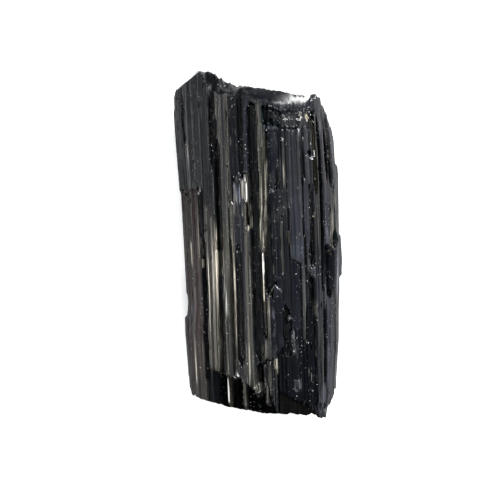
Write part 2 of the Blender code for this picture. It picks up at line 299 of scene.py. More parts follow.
# what the top face is made of, by x and y: each strip is a column, a plate or a floor, and the highest shows
topStrips = [Strip(*row) for row in [
    # floors of the grooves, and the recesses past the ledges, their dark and dull finishes painted shade
    (-20, -12.6, -full, full, 0.6, 0.75, "floor"),
    (-12.6, -2, -29.6, 16, 1.4, 1.4, "floor"),
    (-12.6, -2, 13, full, 0.7, 0.9, "floor"),
    (-2, 5.3, -28.4, 32.5, 1.45, 1.5, "floor"),
    (5.3, 13.6, -full, 27, 1, 1, "floor"),
    (13.6, 20, -full, full, 1.2, 1.2, "floor"),
    (-13.5, 6, -full, -27, 2.9, 2.6, "deep"),
    (-1.5, 14.5, 26, full, 2, 1.7, "rough"),
    # left edge
    (-20, -17.35, 24, full, 0.05, 0.1, "slate"),
    (-20, -17.2, 13.4, 25.5, 0.04, 0.08, "slate"),
    (-20, -17.3, -full, 13, 0.12, 0.06, "brown"),
    (-17.22, -15.08, -full, 13.1, 0.06, 0.14, "brown"),
    (-14.98, -14.05, -full, 12.9, 0.05, 0.2, "brown"),
    (-14.05, -13.55, -full, -16.5, 0.75, 0.85, "dusk"),
    # the broad plate at the upper left, and the ribs below it
    (-17.1, -13, 13.3, full, 0.08, 0.06, "plate"),
    (-13.1, -10.95, 9.5, full, 0.05, 0.2, "plate"),
    (-11.3, -10.2, 5.6, 17.8, 0.16, 0.3, "plain"),
    (-13.3, -12.1, -29.9, 10.5, 0.3, 0.12, "gold", 0, 7),
    (-12.15, -11.55, -30, 10, 0.2, 0.22, "brown", 0, 7),
    (-11.6, -10.15, -30.4, 6.4, 0.14, 0.1, "gold", 0, 7),
    # dark band beside them
    (-9.9, -9.35, -14.5, 1.2, 0.95, 0.9, "dusk"),
    (-9.9, -9.45, -31, -18, 1.1, 1.1, "dusk"),
    # centre-left columns
    (-9.35, -7.2, 24.5, full, 0.22, 0.18, "plain"),
    (-8.75, -7.2, 4.5, 27, 0.2, 0.16, "plain"),
    (-7.22, -6.1, 8.5, full, 0.17, 0.22, "moss"),
    (-6.15, -4.25, 15.6, full, 0.24, 0.36, "dusk"),
    (-9.05, -7.85, -31.2, 5.5, 0.2, 0.1, "gold", 0, 7),
    (-7.9, -6.92, -31.7, 9, 0.13, 0.25, "moss", 0, 7),
    (-6.68, -5.82, -31.6, 9.5, 0.15, 0.25, "gold", 0, 7),
    (-7.3, -4.4, -32.3, -28, 0.4, 0.5, "plain", 0, 7),
    (-5.2, -4.3, -33.1, -31, 0.5, 0.5, "plain", 0, 7),
    (-6.1, -4.25, -0.5, 9.5, 0.34, 0.42, "lilac"),
    (-5.5, -4.6, -27, -1.5, 1.05, 1, "dusk"),
    (-4.42, -3.3, -33.9, 9.5, 0.32, 0.26, "lilac", 0, 7),
    (-3.42, -2.05, -34.4, 3.4, 0.24, 0.3, "moss", 0, 7),
    (-3.05, -1.72, 16.6, full, 0.2, 0.34, "lilac"),
    # pale fibrous flake and the frame below it
    (-5.7, -4.05, 6.8, 14.4, 0.3, 0.26, "lilac", -0.02),
    (-5.2, -3.85, 12.5, 16.2, 0.32, 0.32, "plain"),
    (-3.86, -3.32, 6.6, 15.4, 0.02, 0, "lilac", 0, 1.2, 4),
    (-3.22, -2.98, 9.8, 15.3, 0.02, 0.04, "moss", 0, 5, 6),
    (-3.02, -2.74, 9.6, 16.2, 0, 0.02, "moss", 0, 5, 6),
    (-2.76, -2.5, 10, 14.6, 0.04, 0.08, "moss", 0, 5, 6),
    (-3.3, -2.78, 3.3, 10, 0.2, 0.22, "gold", 0.02),
    (-2.12, -1.68, 3.2, 9.4, 0.16, 0.2, "gold", -0.03),
    (-3.3, -1.66, 3, 4.1, 0.16, 0.16, "gold"),
    (-2.55, -1.85, 9.3, 16.2, 0.3, 0.4, "moss"),
    # dark valley and the leaning pair of ribs
    (-1.55, -0.95, -28.5, 32, 1.1, 1.15, "dusk"),
    (-0.95, -0.3, -28.6, -14, 0.95, 1, "dusk"),
    (0.3, 2.1, 17, 33.5, 0.36, 0.4, "moss", -0.02),
    (0, 1.85, -2.4, 9.5, 0.34, 0.36, "gold", 0.095, 5, 1.2),
    (0.6, 2.6, 8, 24, 0.34, 0.38, "gold", 0.035),
    (0.98, 1.58, 8.5, 22, 0.1, 0.14, "gold", 0.035, 1.2, 0.4),
    (0.34, 0.84, -1, 9.3, 0.12, 0.16, "gold", 0.09, 1.2, 2),
    (1.84, 2.42, 8.5, 20, 0.12, 0.18, "gold", 0.035, 1.2, 0.4),
    (1.28, 1.78, -1, 9.3, 0.14, 0.18, "gold", 0.085, 1.2, 2),
    (0.62, 0.94, -13.4, -2.5, 0.2, 0.16, "gold", 0, 0.12, 7),
    # centre-right
    (2.8, 5.4, 18.5, 27.6, 0.52, 0.48, "navy", 0, 0.6, 4),
    (2.8, 4.5, 12.5, 21, 0.56, 0.55, "navy", 0.05, 0.6, 4),
    (2.7, 4.2, -9.5, 13.5, 0.95, 0.85, "navy"),
    (4.15, 5.2, -13, 12.5, 0.75, 0.7, "navy"),
    (5.35, 6.1, -16, 27.6, 0.62, 0.56, "navy"),
    (6.3, 7.05, 12.3, 24.5, 0.34, 0.4, "slate", 0, 2, 1),
    (6.25, 7.25, -16.4, 27.4, 0.66, 0.7, "dusk"),
    (5.45, 5.95, -7.6, 4.5, 0.45, 0.45, "moss"),
    (7.05, 7.65, -0.6, 2.4, 0.35, 0.35, "gold"),
    (7.3, 8.5, 8, 26.5, 0.42, 0.46, "slate"),
    (8.6, 9.9, 9, 26.5, 0.36, 0.34, "lilac"),
    (10, 10.85, 6, 26.5, 0.34, 0.4, "plain"),
    (7.75, 9.2, -4.3, 11.6, 0.46, 0.38, "lilac", 0, 3, 0.8, 0.5),
    (8.9, 10.75, -5, 12.4, 0.34, 0.3, "lilac", 0, 3, 0.8),
    (7.3, 8.2, -20.5, -4.2, 0.95, 0.9, "navy"),
    (8.3, 9.9, -21, -4.4, 0.85, 0.8, "navy"),
    (10.15, 11, -23, 6, 0.36, 0.42, "plain", 0, 1, 3),
    (10.15, 11, -full, -20, 0.6, 0.64, "night"),
    (11.2, 12.4, -7.4, 14.5, 0.24, 0.32, "lilac", 0, 2, 1),
    (11.75, 12.9, 13.5, 26.5, 0.3, 0.4, "plain"),
    (13, 13.95, 12, 26.6, 0.5, 0.6, "dusk"),
    (12.45, 13.6, -8.4, -6.3, 0.32, 0.4, "lilac", 0, 2, 1),
    (13.7, 15.2, -9.5, 9, 0.2, 0.22, "slate"),
    (14.55, 15.15, 5, 29.6, 0.16, 0.22, "plain"),
    (13.75, 14.6, 2, 13.5, 0.26, 0.24, "lilac"),
    (12.95, 15.3, -18.6, -8.3, 0.18, 0.2, "slate", 0, 2, 2),
    (13.62, 15.3, -full, -17.5, 0.2, 0.22, "slate"),
    (15.62, 16.85, 2, 30.5, 0.18, 0.22, "plain", 0, 1, 1, 0.4),
    (15.7, 17.3, -1, 13.5, 0.16, 0.2, "lilac"),
    (17.2, 17.6, 12, 30, 0.3, 0.3, "plain"),
    (15.55, 16.4, -15.5, 0.6, 0.2, 0.24, "plain"),
    (16.1, 17.55, -full, -13.2, 0.14, 0.16, "lilac", 0, 1.6, 1.6, 0.6),
    (17.4, 18.45, -0.8, 8.5, 0.12, 0.16, "moss"),
    (17.5, 18.5, 8, 17.5, 0.2, 0.15, "plain"),
    (17.3, 17.85, -2.5, -0.1, 0.2, 0.2, "moss", -1.25, 5, 5),
    (17.7, 18.4, -full, -13, 0.3, 0.25, "plain"),
    (18.5, 20, 14, full, 0.04, 0, "plain"),
    (18.6, 20, -full, 15, 0.04, 0, "plain"),
    # bluish plate
    (1.3, 2.1, -27.6, -12, 0.5, 0.46, "moss"),
    (0.45, 1.6, -27.6, -22.8, 0.46, 0.5, "moss", 0.04, 5),
    (1.95, 5.3, -26.6, -10.5, 0.5, 0.56, "navy", 0, 5, 0.7, 0.9),
    (1.3, 3.3, -27.5, -24, 0.5, 0.5, "dusk", 0, 6, 1),
    # stubs and thin ribs under the second ledge
    (-2.4, -1.05, -28.9, -22, 0.85, 0.9, "dusk", 0, 6),
    (-1, 0.45, -28.5, -22, 0.8, 0.8, "dusk", 0, 6),
    (-0.35, 1.15, -34.6, -27, 1.65, 1.6, "dusk"),
    (1.25, 1.75, -36.2, -28, 1.3, 1.3, "moss"),
    (2, 2.4, -38.5, -28.5, 1.5, 1.5, "dusk"),
    (2.5, 3.15, -30.1, -27.2, 0.9, 0.9, "gold", 0, 3, 3),
    (3.2, 3.65, -31.4, -26.8, 1, 1, "gold", 0, 3, 3),
    (2.75, 3.3, -40, -29.8, 1.4, 1.4, "dusk"),
    (-2.3, -0.9, -35.5, -33.4, 1.1, 1.2, "moss"),
    (0.1, 0.75, -38.2, -33.6, 1.4, 1.4, "moss"),
    (-9.25, -8.7, -37.8, -31.5, 1.3, 1.3, "gold", 0, 1, 4),
    (-5.22, -4.72, -38.6, -32.3, 1.5, 1.5, "moss", 0, 1, 4),
    (-11.6, -10.6, -full, -30.4, 2.5, 2.5, "deep"),
    (-10.5, -9.7, -full, -30.4, 2.3, 2.3, "deep"),
    # rim of the deep pit
    (7.2, 7.95, -24.4, -21, 0.5, 0.5, "lilac", 0, 2, 2),
    (7.45, 8.1, -26.3, -23.5, 0.62, 0.6, "lilac", -0.1, 2, 2),
    (5.9, 7.5, -27.2, -26.2, 0.7, 0.7, "dusk"),
    # lower right: thin dark ribs
    *[(start, start + wide, -full, -26.8, deep, deep + 0.02, "night", 0, 1.6, 0.8) for start, wide, deep in
      ((3.9, 0.7, 0.95), (4.75, 0.35, 0.98), (5.2, 0.45, 0.9), (5.75, 0.4, 0.97), (6.3, 0.3, 0.86),
       (6.75, 0.4, 0.92), (7.3, 0.45, 0.78), (7.85, 0.25, 0.86), (11.3, 0.5, 0.96), (11.95, 0.35, 0.97),
       (12.45, 0.5, 1))],
    *[(start, start + wide, -full, -20.5, deep, deep + 0.02, "night") for start, wide, deep in
      ((8.2, 0.4, 0.8), (8.68, 0.35, 0.86), (9.15, 0.3, 0.76), (9.55, 0.42, 0.8))],
    (7.7, 9.5, -35.2, -33, 0.6, 0.6, "dusk"),
    (14.7, 16.1, -39, -33.8, 0.25, 0.3, "lilac"),
    (13.4, 14.9, -full, -38, 0.35, 0.3, "lilac"),
    # smooth lip over the pocket, and what stands in the pocket
    (-2.3, 3.4, 32.7, full, 0.4, 0.4, "lip"),
    (3, 8, 32, full, 0.4, 0.35, "lip", 0, 1),
    (7.5, 15.2, 31.4, full, 0.35, 0.35, "lip", 0, 0.8),
    (3.05, 3.4, 26.6, 32.2, 1.2, 1.3, "pocket"),
    (4.7, 6.2, 26.6, 30.5, 1.4, 1.35, "pocket"),
    (6.2, 8.2, 26.4, 30.8, 1.25, 1.3, "pocket"),
    (8.2, 11, 26.4, 31.5, 1.35, 1.2, "pocket"),
    (10.8, 13.6, 26.4, 31.9, 0.95, 0.85, "pocket"),
    (13.4, 15, 26.6, full, 0.6, 0.5, "rough"),
    (15, 17.7, 28.5, full, 0.28, 0.2, "plain"),
]]
print("outline", round(outline.length, 1), "mm round,", len(topStrips), "strips on the top face")

# grooves, pits and cracks cut into the top face: x, x, y, y, depth
Cut = namedtuple("Cut", "start end low high depth finish lean taper stray",
                 defaults=("floor", 0.0, 2.0, 0.07))
topCuts = [Cut(*row) for row in [
    (5.5, 6.9, -26.6, -15, 1.5, "pit", 0, 2, 0.5),
    (5.9, 7.3, -21.5, -16.4, 1.4, "pit", 0, 1, 0.5),
    (6.2, 7.6, -27.2, -23.8, 1.4, "pit", 0, 1, 0.4),
    (-10.95, -10.3, 17.4, 36, 0.8),
    (-10.4, -9.25, 24, 31, 1),
    (-9.95, -8.8, -3, 25, 1.5),
    (-10.1, -9.05, -32, 0, 1.5),
    (-4.15, -3.1, 16.8, 36, 1),
    (-1.75, -0.05, -28, 33.5, 1.5),
    (-7, -6.62, -31, 1, 0.9),
    (-5.85, -4.4, -29, -0.5, 1.2),
    (-14, -13.2, -33.5, 2.2, 0.95),
    (-14.45, -13.25, 1, 13.7, 0.42, "dusk"),
    (-13.3, -12.5, 2.9, 5, 0.5, "floor", 0, 0.5),
    (1.9, 7.3, 27.5, 30.9, 1.35, "pocket", 0, 0.1, 0.03),
    (7.2, 10.9, 27.3, 30.4, 1.15, "pocket", 0, 0.8, 0.2),
    (1.95, 2.95, 27.7, 32.4, 2.1, "well", 0, 0.2, 0.02),
    (3.45, 4.55, 27.7, 29.1, 2.1, "well", 0, 0.2, 0.02),
    (4.75, 6.5, 27.6, 29.3, 1.6, "well", 0, 0.6, 0.1),
    (14.5, 15.3, 30.3, 31.3, 0.9, "pit", 0, 0.6, 0.1),
    (-17.3, -16.8, 24, 36, 0.45, "dusk"),
    (-15.05, -14.9, 14, 36, 0.16, "plain"),
    (-13.55, -13.35, 14, 37, 0.15, "plain"),
    (16.25, 17.4, -13.4, -1, 1.6, "pit", -0.03, 0.4, 0.16),
    (17.2, 18.25, -12.2, -2.2, 1.5, "pit", 0, 0.6, 0.22),
    (18.15, 18.85, -1.8, 2.1, 1.2, "pit", 0, 2),
    (17.5, 18, 17.8, 25, 0.8, "floor", 0, 2.5, 0.16),
    (17.75, 18.25, 13, 19, 1, "floor", 0, 2, 0.16),
    (16.9, 17.2, 14.5, 26.5, 0.9, "deep"),
    (14.08, 14.5, 11, 30.5, 1.2, "deep"),
    (12.2, 13.4, -6.4, 0.5, 1.3, "pit", 0, 3),
    (12.7, 13.5, 0, 11.5, 0.9, "floor", 0, 4),
    (11.15, 13.4, -full, -14, 1.15, "night", 0, 2),
    (10.9, 11.2, -full, -16, 1.2, "deep", 0, 2),
    # the dark face that the ribs at the lower right end at
    *[(start, start + 1.1, -full, -35.4 - 0.5 * (start - 3), 1.45, "coal", 0, 0.1, 0.03)
      for start in np.arange(3, 12.6, 1.05)],
    (12, 13, -16, -8.6, 1.2, "pit", 0, 0.6),
    (10.86, 11.14, 13, 25, 1, "floor"),
    (10.78, 11, 0.9, 5.4, 0.8, "deep", 0, 0.5),
    (11.02, 11.2, -7.5, 1.2, 0.9, "floor"),
    (-14.7, -13.9, 13.25, 13.65, 0.5, "deep", 0, 0.2),
    (-17.9, -16.6, 11.9, 12.6, 0.35, "floor", 0, 0.2),
    (15.2, 15.55, -12, 29, 1, "deep"),
    (15.45, 15.95, -34, -15, 1, "floor"),
    (2.4, 3, -13, 9, 1.5, "floor"),
    (1.3, 2.3, -12, -2.5, 1.6, "floor", 0, 1),
    (2.3, 2.65, 8, 26, 1, "floor"),
    (5.35, 5.6, 12, 26, 0.9, "floor"),
    (12.65, 13.5, 20.3, 21.6, 1.1, "deep", 0, 0.5),
    (14.1, 14.35, -40.2, -38.4, 0.9, "deep", 0, 0.4),
    (14.02, 14.2, -16.6, -15.2, 0.5, "floor", 0, 0.3),
]]

# what stands in the cuts
lateStrips = [Strip(*row) for row in [
    (1.9, 5.5, 26.75, 27.5, 0.44, 0.42, "lilac", 0, 1.6, 5),
    (13.6, 17.4, 31.2, full, 0.33, 0.25, "lip", 0, 0.8),
    (16.6, 16.85, -12.4, -2.4, 0.85, 0.95, "night", 0, 3, 3),
    (17.5, 17.8, -11, -3.6, 0.8, 0.85, "night", 0.02, 3, 3),
    (17.3, 17.75, -3.2, -0.5, 0.2, 0.25, "lilac", -0.96, 6, 6),
    (17.75, 18, -4.4, -2.2, 0.5, 0.5, "moss", -0.45, 6, 6),
    (18.2, 19, -14, -3.2, 0.14, 0.1, "lilac", 0, 6, 6),
    (12.2, 13.5, -8.3, -6.5, 0.28, 0.32, "lilac", 0, 3, 3, 0.4),
    (6.5, 7.3, -18.9, -17.4, 0.6, 0.6, "moss", 0, 5, 5, 0.3),
    (7.1, 7.9, -24, -21.2, 0.5, 0.55, "lilac", 0, 5, 5, 0.3),
    (7.4, 8.1, -26.4, -23.9, 0.6, 0.6, "lilac", -0.1, 5, 5, 0.3),
    (5.9, 6.2, -23.1, -22, 0.85, 0.85, "moss", 0, 5, 5),
    (2.25, 2.65, -13.4, -10, 0.38, 0.42, "moss", 0.6, 4, 4),
    (1.5, 2.1, -22.2, -12.8, 0.42, 0.48, "gold", 0.02, 4, 4),
    (3.1, 3.4, -21.4, -18.6, 0.4, 0.44, "lilac", 0.08, 5, 3),
    (2.4, 3.2, -22.4, -21.2, 0.4, 0.44, "lilac", 0.6, 5, 5),
]]

# pale and coloured streaks on the top face that lie flat, partly tints of the crystal and partly painted
# highlights and painted shade: x, x, y, y, colour, strength
TintAndPaintedLight = namedtuple("TintAndPaintedLight", "start end low high colour strength lean edge ends", defaults=(0.0, 0.15, 2.5))
tintAndPaintedLightColours = dict(
    # white, pale and olive stand partly for painted highlights along the ribs, the near-black colour is
    # painted shade, and the others are the crystal's own tints and its pale flake
    white=(0.68, 0.66, 0.62),
    flake=(0.46, 0.44, 0.41),
    pale=(0.42, 0.38, 0.31),
    olive=(0.145, 0.138, 0.108),
    brown=(0.040, 0.024, 0.024),
    red=(0.048, 0.021, 0.021),
    lilac=(0.066, 0.067, 0.092),
    haze=(0.16, 0.17, 0.22),
    steel=(0.035, 0.043, 0.052),
    dark=(0.002, 0.003, 0.003),
)
tintsAndPaintedLight = [TintAndPaintedLight(*row) for row in [
    # far left, with painted highlights along the brown column
    (-18.3, -17.1, -21.5, -13.5, "lilac", 0.6, 0, 0.3),
    (-17.05, -16.75, -5.2, 1.2, "pale", 3, 0, 0.1, 1),
    (-16.75, -16.45, -13, -8.3, "olive", 0.8, 0, 0.12, 1),
    (-16.75, -16.45, -34.2, -21, "pale", 1.2, 0, 0.1, 2),
    (-16.95, -16.8, -33, -17, "olive", 0.5, 0, 0.12),
    (-16.3, -15, -8, 12.5, "red", 0.55, 0, 0.3),
    (-17, -15.1, -28, -8, "brown", 0.5, 0, 0.4),
    (-15, -14.75, -25, 0, "olive", 0.5, 0, 0.1),
    (-15, -14.65, -1, 10.6, "olive", 1, 0, 0.12, 1),
    (-14.9, -14.68, -3, 9, "pale", 1.5, 0, 0.08, 2),
    (-14.25, -14, -5.6, -3.4, "pale", 1.5, 0, 0.08, 0.4),
    (-14.25, -14.05, -3, 2, "olive", 0.8, 0, 0.08, 0.5),
    (-16, -14.3, -33, -22, "olive", 0.25, 0, 0.4),
    (-16.55, -16.3, 19, 25.3, "lilac", 1, -0.04, 0.08, 0.6),
    (-16.5, -16.35, 20, 24.8, "pale", 0.5, -0.04, 0.06, 0.6),
    (-17.4, -16.9, 22, 24.4, "olive", 0.3, 0, 0.1, 0.5),
    # golden columns, with painted highlights along them
    (-13.25, -12.1, -30.5, 9.2, "olive", 0.55, 0, 0.2, 4),
    (-12.65, -12.3, -22, -2.5, "pale", 2.6, 0, 0.1, 5),
    (-13.1, -12.75, -14, 6, "pale", 0.5, 0, 0.1, 4),
    (-12.55, -12.35, 4.8, 8.6, "olive", 0.8, 0, 0.1, 0.8),
    (-11.6, -10.2, -30, 7.2, "olive", 0.7, 0, 0.2, 4),
    (-11.5, -10.4, -19, 4, "pale", 1, 0, 0.25, 7),
    (-10.65, -10.3, -9.5, 6, "pale", 2, 0, 0.12, 4),
    (-11.45, -11.1, -14, 1, "pale", 1.6, 0, 0.12, 4),
    (-11.4, -11.15, -30.4, -25.5, "pale", 0.6, 0, 0.1, 1),
    (-10.75, -10.4, -30.4, -14, "olive", 0.5, 0, 0.12),
    (-9.7, -9.35, -13.6, -8.2, "lilac", 0.8, 0, 0.12, 1),
    (-9.75, -9.5, -7.5, -5.8, "olive", 0.7, 0, 0.1, 0.5),
    (-9, -7, -31.4, 3, "olive", 0.38, 0, 0.25, 8),
    (-8.95, -8.5, -4, 8, "olive", 0.7, 0, 0.15, 3),
    (-8.78, -8.5, -12, -3, "pale", 1.8, 0, 0.08, 1.5),
    (-8.5, -8.2, -12.2, -7.2, "white", 2.4, 0, 0.08, 1),
    (-8.38, -8.06, -17.2, -11.8, "white", 3, 0, 0.08, 0.8),
    (-8, -7.5, -28, -12, "olive", 0.4, 0, 0.15),
    (-9, -8.2, -31.6, -28.6, "olive", 0.6, 0, 0.15, 1),
    (-7.5, -7.2, -3, 24, "olive", 0.14, 0, 0.1, 3),
    (-8.7, -8.4, 4, 27, "olive", 0.14, 0, 0.12, 4),
    (-6.35, -5.95, -28.6, 2, "olive", 0.5, 0, 0.12, 1.5),
    (-6.22, -6, -26, -4, "pale", 1.3, 0, 0.08, 4),
    (-6.6, -6.35, -3, 2.5, "olive", 0.6, 0, 0.1, 1),
    (-4.3, -2.2, -33.5, -2, "olive", 0.17, 0, 0.3, 4),
    (-3.35, -3, -32.8, -24, "olive", 0.9, 0, 0.1, 1.5),
    (-3.6, -2.4, -18, -6, "olive", 0.20, 0, 0.3, 3),
    (-5.9, -5.3, -4, 0, "lilac", 0.5, 0, 0.2, 1),
    # pale flake
    (-3.85, -3.4, 7, 15.2, "lilac", 1, 0, 0.1, 0.8),
    (-3.8, -3.45, 10.5, 15.2, "pale", 1, 0, 0.08, 0.6),
    (-3.75, -3.5, 6.6, 8.6, "pale", 0.7, 0, 0.08, 0.5),
    (-3.3, -2.98, 10.1, 15.4, "flake", 2.6, 0, 0.1, 0.4),
    (-3.02, -2.72, 9.8, 16.1, "white", 3, 0, 0.1, 0.4),
    (-2.7, -2.45, 10.2, 14.4, "flake", 2.2, 0, 0.1, 0.4),
    (-5.7, -5.2, 6.8, 11.5, "lilac", 1, 0, 0.12, 1),
    (-5.35, -4, 9.6, 12.6, "haze", 1.1, -0.1, 0.15, 0.5),
    (-5.3, -4.6, 9.9, 12, "pale", 0.5, -0.1, 0.1, 0.4),
    (-5.55, -4.9, 11.5, 14.6, "haze", 0.9, -0.12, 0.1, 0.6),
    (-4.3, -4, 9.8, 13.4, "haze", 1, 0, 0.08, 0.5),
    (-3.25, -2.85, 3.3, 9, "olive", 1, 0.02, 0.08, 0.5),
    (-2.1, -1.7, 3.2, 9.2, "olive", 1, -0.03, 0.08, 0.8),
    (-3.2, -1.7, 3.1, 3.8, "olive", 1, 0, 0.1, 0.2),
    (-2.4, -1.8, 9, 16, "olive", 0.3, 0, 0.15),
    # leaning pair of ribs and the needle below it, with painted highlights along both
    (1.04, 1.52, 9, 21.8, "olive", 1, 0.035, 0.1, 0.8),
    (0.38, 0.8, -0.2, 9.3, "olive", 1, 0.09, 0.1, 0.8),
    (1.9, 2.36, 8.6, 20, "olive", 0.9, 0.035, 0.1, 2),
    (1.32, 1.74, -0.2, 9.3, "olive", 1, 0.085, 0.1, 0.8),
    (1.62, 1.9, 4, 11, "pale", 0.4, 0.085, 0.08, 2),
    (-0.3, 1.5, -2.4, 3.5, "olive", 0.4, 0.1, 0.15, 0.5),
    (0.3, 2.2, 8, 26, "olive", 0.25, 0, 0.3, 3),
    (0.7, 1.1, 24, 27.4, "pale", 0.45, 0.06, 0.15, 0.8),
    (0.3, 1.5, 22, 33, "olive", 0.12, 0, 0.3, 3),
    (3, 3.7, 13.5, 16.5, "olive", 0.35, 0.15, 0.2, 1),
    (0.66, 0.94, -7.5, -2.4, "white", 3, 0, 0.1, 0.4),
    (0.68, 0.9, -11, -6.5, "white", 2.4, 0, 0.1, 1.5),
    (0.7, 0.92, -14.5, -9.5, "pale", 4, 0, 0.08, 2),
    # centre and right
    (3.5, 5.6, 20, 26.5, "lilac", 0.09, 0, 0.3, 2),
    (6.45, 6.8, 12.6, 20, "olive", 1, 0, 0.12, 2.5),
    (6.3, 7.2, 14, 25, "olive", 0.06, 0, 0.3),
    (5.5, 5.8, -8, -0.5, "olive", 0.7, 0, 0.1, 1.5),
    (7.15, 7.6, -0.5, 2.2, "olive", 0.75, 0, 0.1, 0.4),
    (3.05, 3.4, -7.5, -5.6, "olive", 0.5, 0, 0.1, 0.4),
    (2.9, 3.4, 0.5, 2.4, "olive", 0.45, 0, 0.12, 0.5),
    (8.5, 10.9, -5.2, 11.5, "lilac", 0.11, 0, 0.3, 1.5),
    (9.9, 10.4, 8.5, 11.6, "lilac", 0.5, 0, 0.15, 1),
    (7.6, 10.4, -5, -0.5, "steel", 0.5, 0, 0.3, 0.8),
    (11.3, 12.3, -7, 12, "lilac", 0.14, 0, 0.2),
    (11.6, 12.4, -7.2, -4, "olive", 0.35, 0, 0.2, 1),
    (12.5, 13.6, -8.3, -6.4, "lilac", 0.7, 0, 0.15, 0.4),
    (13.1, 15.2, -18.5, -8, "lilac", 0.11, 0, 0.2, 1),
    (13, 13.9, -18.4, -13.5, "olive", 0.35, 0, 0.2, 1),
    (13.75, 15.1, -39, -18, "olive", 0.1, 0, 0.2, 2),
    (13.8, 15.1, -2, 29, "olive", 0.12, 0, 0.2, 2),
    (15.7, 17.1, 0, 29, "lilac", 0.09, 0, 0.2, 2),
    (16.3, 17, -1, 3.5, "lilac", 0.7, -0.1, 0.2, 1),
    (17.5, 18.3, 0, 7, "olive", 0.6, 0.05, 0.2, 1),
    (17.75, 18.1, 0.5, 5.5, "pale", 0.35, 0.08, 0.1, 1),
    (18.5, 18.9, 8, 11.5, "olive", 0.6, 0, 0.12, 1),
    (18.75, 19.3, -14, -3, "lilac", 0.6, 0, 0.15, 1),
    (17.3, 17.8, -2.4, -0.2, "olive", 0.45, -1.25, 0.12, 0.4),
    (16.2, 17.5, -34, -13.5, "lilac", 0.14, 0, 0.25, 1.5),
    (15.6, 16.4, -15, 0, "lilac", 0.10, 0, 0.15, 1.5),
    # bluish plate, the pit's rim and the ribs under the second ledge
    (1.35, 1.95, -22.8, -13.5, "olive", 0.4, 0, 0.15, 1),
    (1.5, 2, -17.2, -15.2, "pale", 0.5, 0, 0.12, 0.5),
    (3, 4.8, -13.4, -9.6, "lilac", 0.11, 0, 0.4, 1),
    (2.5, 3.1, -18.5, -15.6, "lilac", 0.8, 0, 0.15, 0.8),
    (4.2, 5.2, -24.4, -21.6, "lilac", 0.11, 0, 0.3, 1),
    (0.5, 1.5, -27.4, -23.4, "olive", 0.65, 0.06, 0.15, 0.4),
    (-0.5, -0.15, -28, -23.5, "olive", 0.35, 0, 0.12, 1),
    (7.3, 7.85, -24.2, -21.1, "olive", 0.75, 0, 0.15, 0.4),
    (7.3, 7.6, -22.6, -21.3, "pale", 0.4, 0, 0.1, 0.3),
    (7.6, 8.1, -26.4, -24, "olive", 0.55, -0.1, 0.12, 0.4),
    (8.2, 8.9, -28, -23, "lilac", 0.14, 0, 0.2, 1),
    (10.2, 10.8, -24, -9, "olive", 0.25, 0, 0.15, 2),
    (2.52, 3.15, -30, -27.5, "olive", 0.8, 0, 0.1, 0.3),
    (3.2, 3.6, -31, -27, "olive", 0.6, 0, 0.1, 0.6),
    (1.3, 1.7, -34.5, -28.6, "olive", 0.5, 0, 0.1, 1),
    (-2.3, -1, -35.3, -33.5, "olive", 0.6, 0, 0.2, 0.3),
    (-2.3, -1.95, -34.9, -33.9, "pale", 0.7, 0, 0.1, 0.3),
    (0.15, 0.7, -38, -33.8, "olive", 0.4, 0, 0.12, 0.5),
    # painted highlight along the white rib under the ledge
    (-9.2, -8.85, -37.6, -31.7, "white", 5, -0.03, 0.1, 0.3),
    (-5.2, -4.75, -38.4, -32.4, "olive", 1, 0, 0.1, 0.8),
    (11.3, 11.6, -32.2, -29.8, "olive", 0.5, 0, 0.1, 0.6),
    (12, 12.3, -33, -31.4, "olive", 0.45, 0, 0.1, 0.4),
    (10.9, 11.15, -24.6, -23.4, "pale", 0.35, 0, 0.1, 0.4),
    (7.6, 9.4, -35, -33.2, "steel", 0.8, 0, 0.3, 0.5),
    (14.6, 15.9, -38.8, -34.5, "lilac", 0.6, 0, 0.25, 1),
    (13.2, 14.7, -41.5, -38.5, "lilac", 0.5, 0, 0.25, 1),
    # painted shade: dark diagonal patches across the centre columns
    (4.2, 6.4, 4, 9.6, "dark", 0.7, 1.2, 0.9, 1),
    (4.6, 6.2, 13, 21, "dark", 0.7, 0.3, 0.6, 2),
    # top right
    (11.3, 11.65, 23.4, 24.8, "pale", 0.7, -0.2, 0.1, 0.4),
    (11.4, 11.95, 20.6, 24.6, "lilac", 1, -0.15, 0.12, 0.8),
    (15.9, 16.3, 26, 28.6, "olive", 0.3, 0, 0.15, 0.6),
    (10.5, 12, 24, 27.5, "steel", 0.5, 0, 0.4, 1),
    (1.9, 5.6, 26.7, 27.5, "steel", 0.9, 0, 0.4, 0.3),
]]

sides = dict(
    # the same columns round the sides and the base as the solid's
    baseColumns=[(-6.8, -4.5), (-3.8, 4.6), (5.2, 8.3)],
    baseGroove=0.6,
    topEnds=(-16.7, 16.5),  # x where the top face's own columns end
    width=(1.6, 5.4),
    gap=(0.3, 0.8),
    crest=(0.0, 0.3),
    groove=(0.45, 1.1),
    broken=0.35,
    short=(3.0, 14.0),
    drop=(0.5, 1.1),
    seed=11,
    # and the narrower ribs on them
    ribWidth=(0.35, 1.3),
    ribGap=(0.04, 0.22),
    ribCrest=(-0.02, 0.3),
    ribFinishes=["plain", "plain", "plate", "dusk", "brown", "lilac", "gold", "moss"],
    ribSeed=23,
)


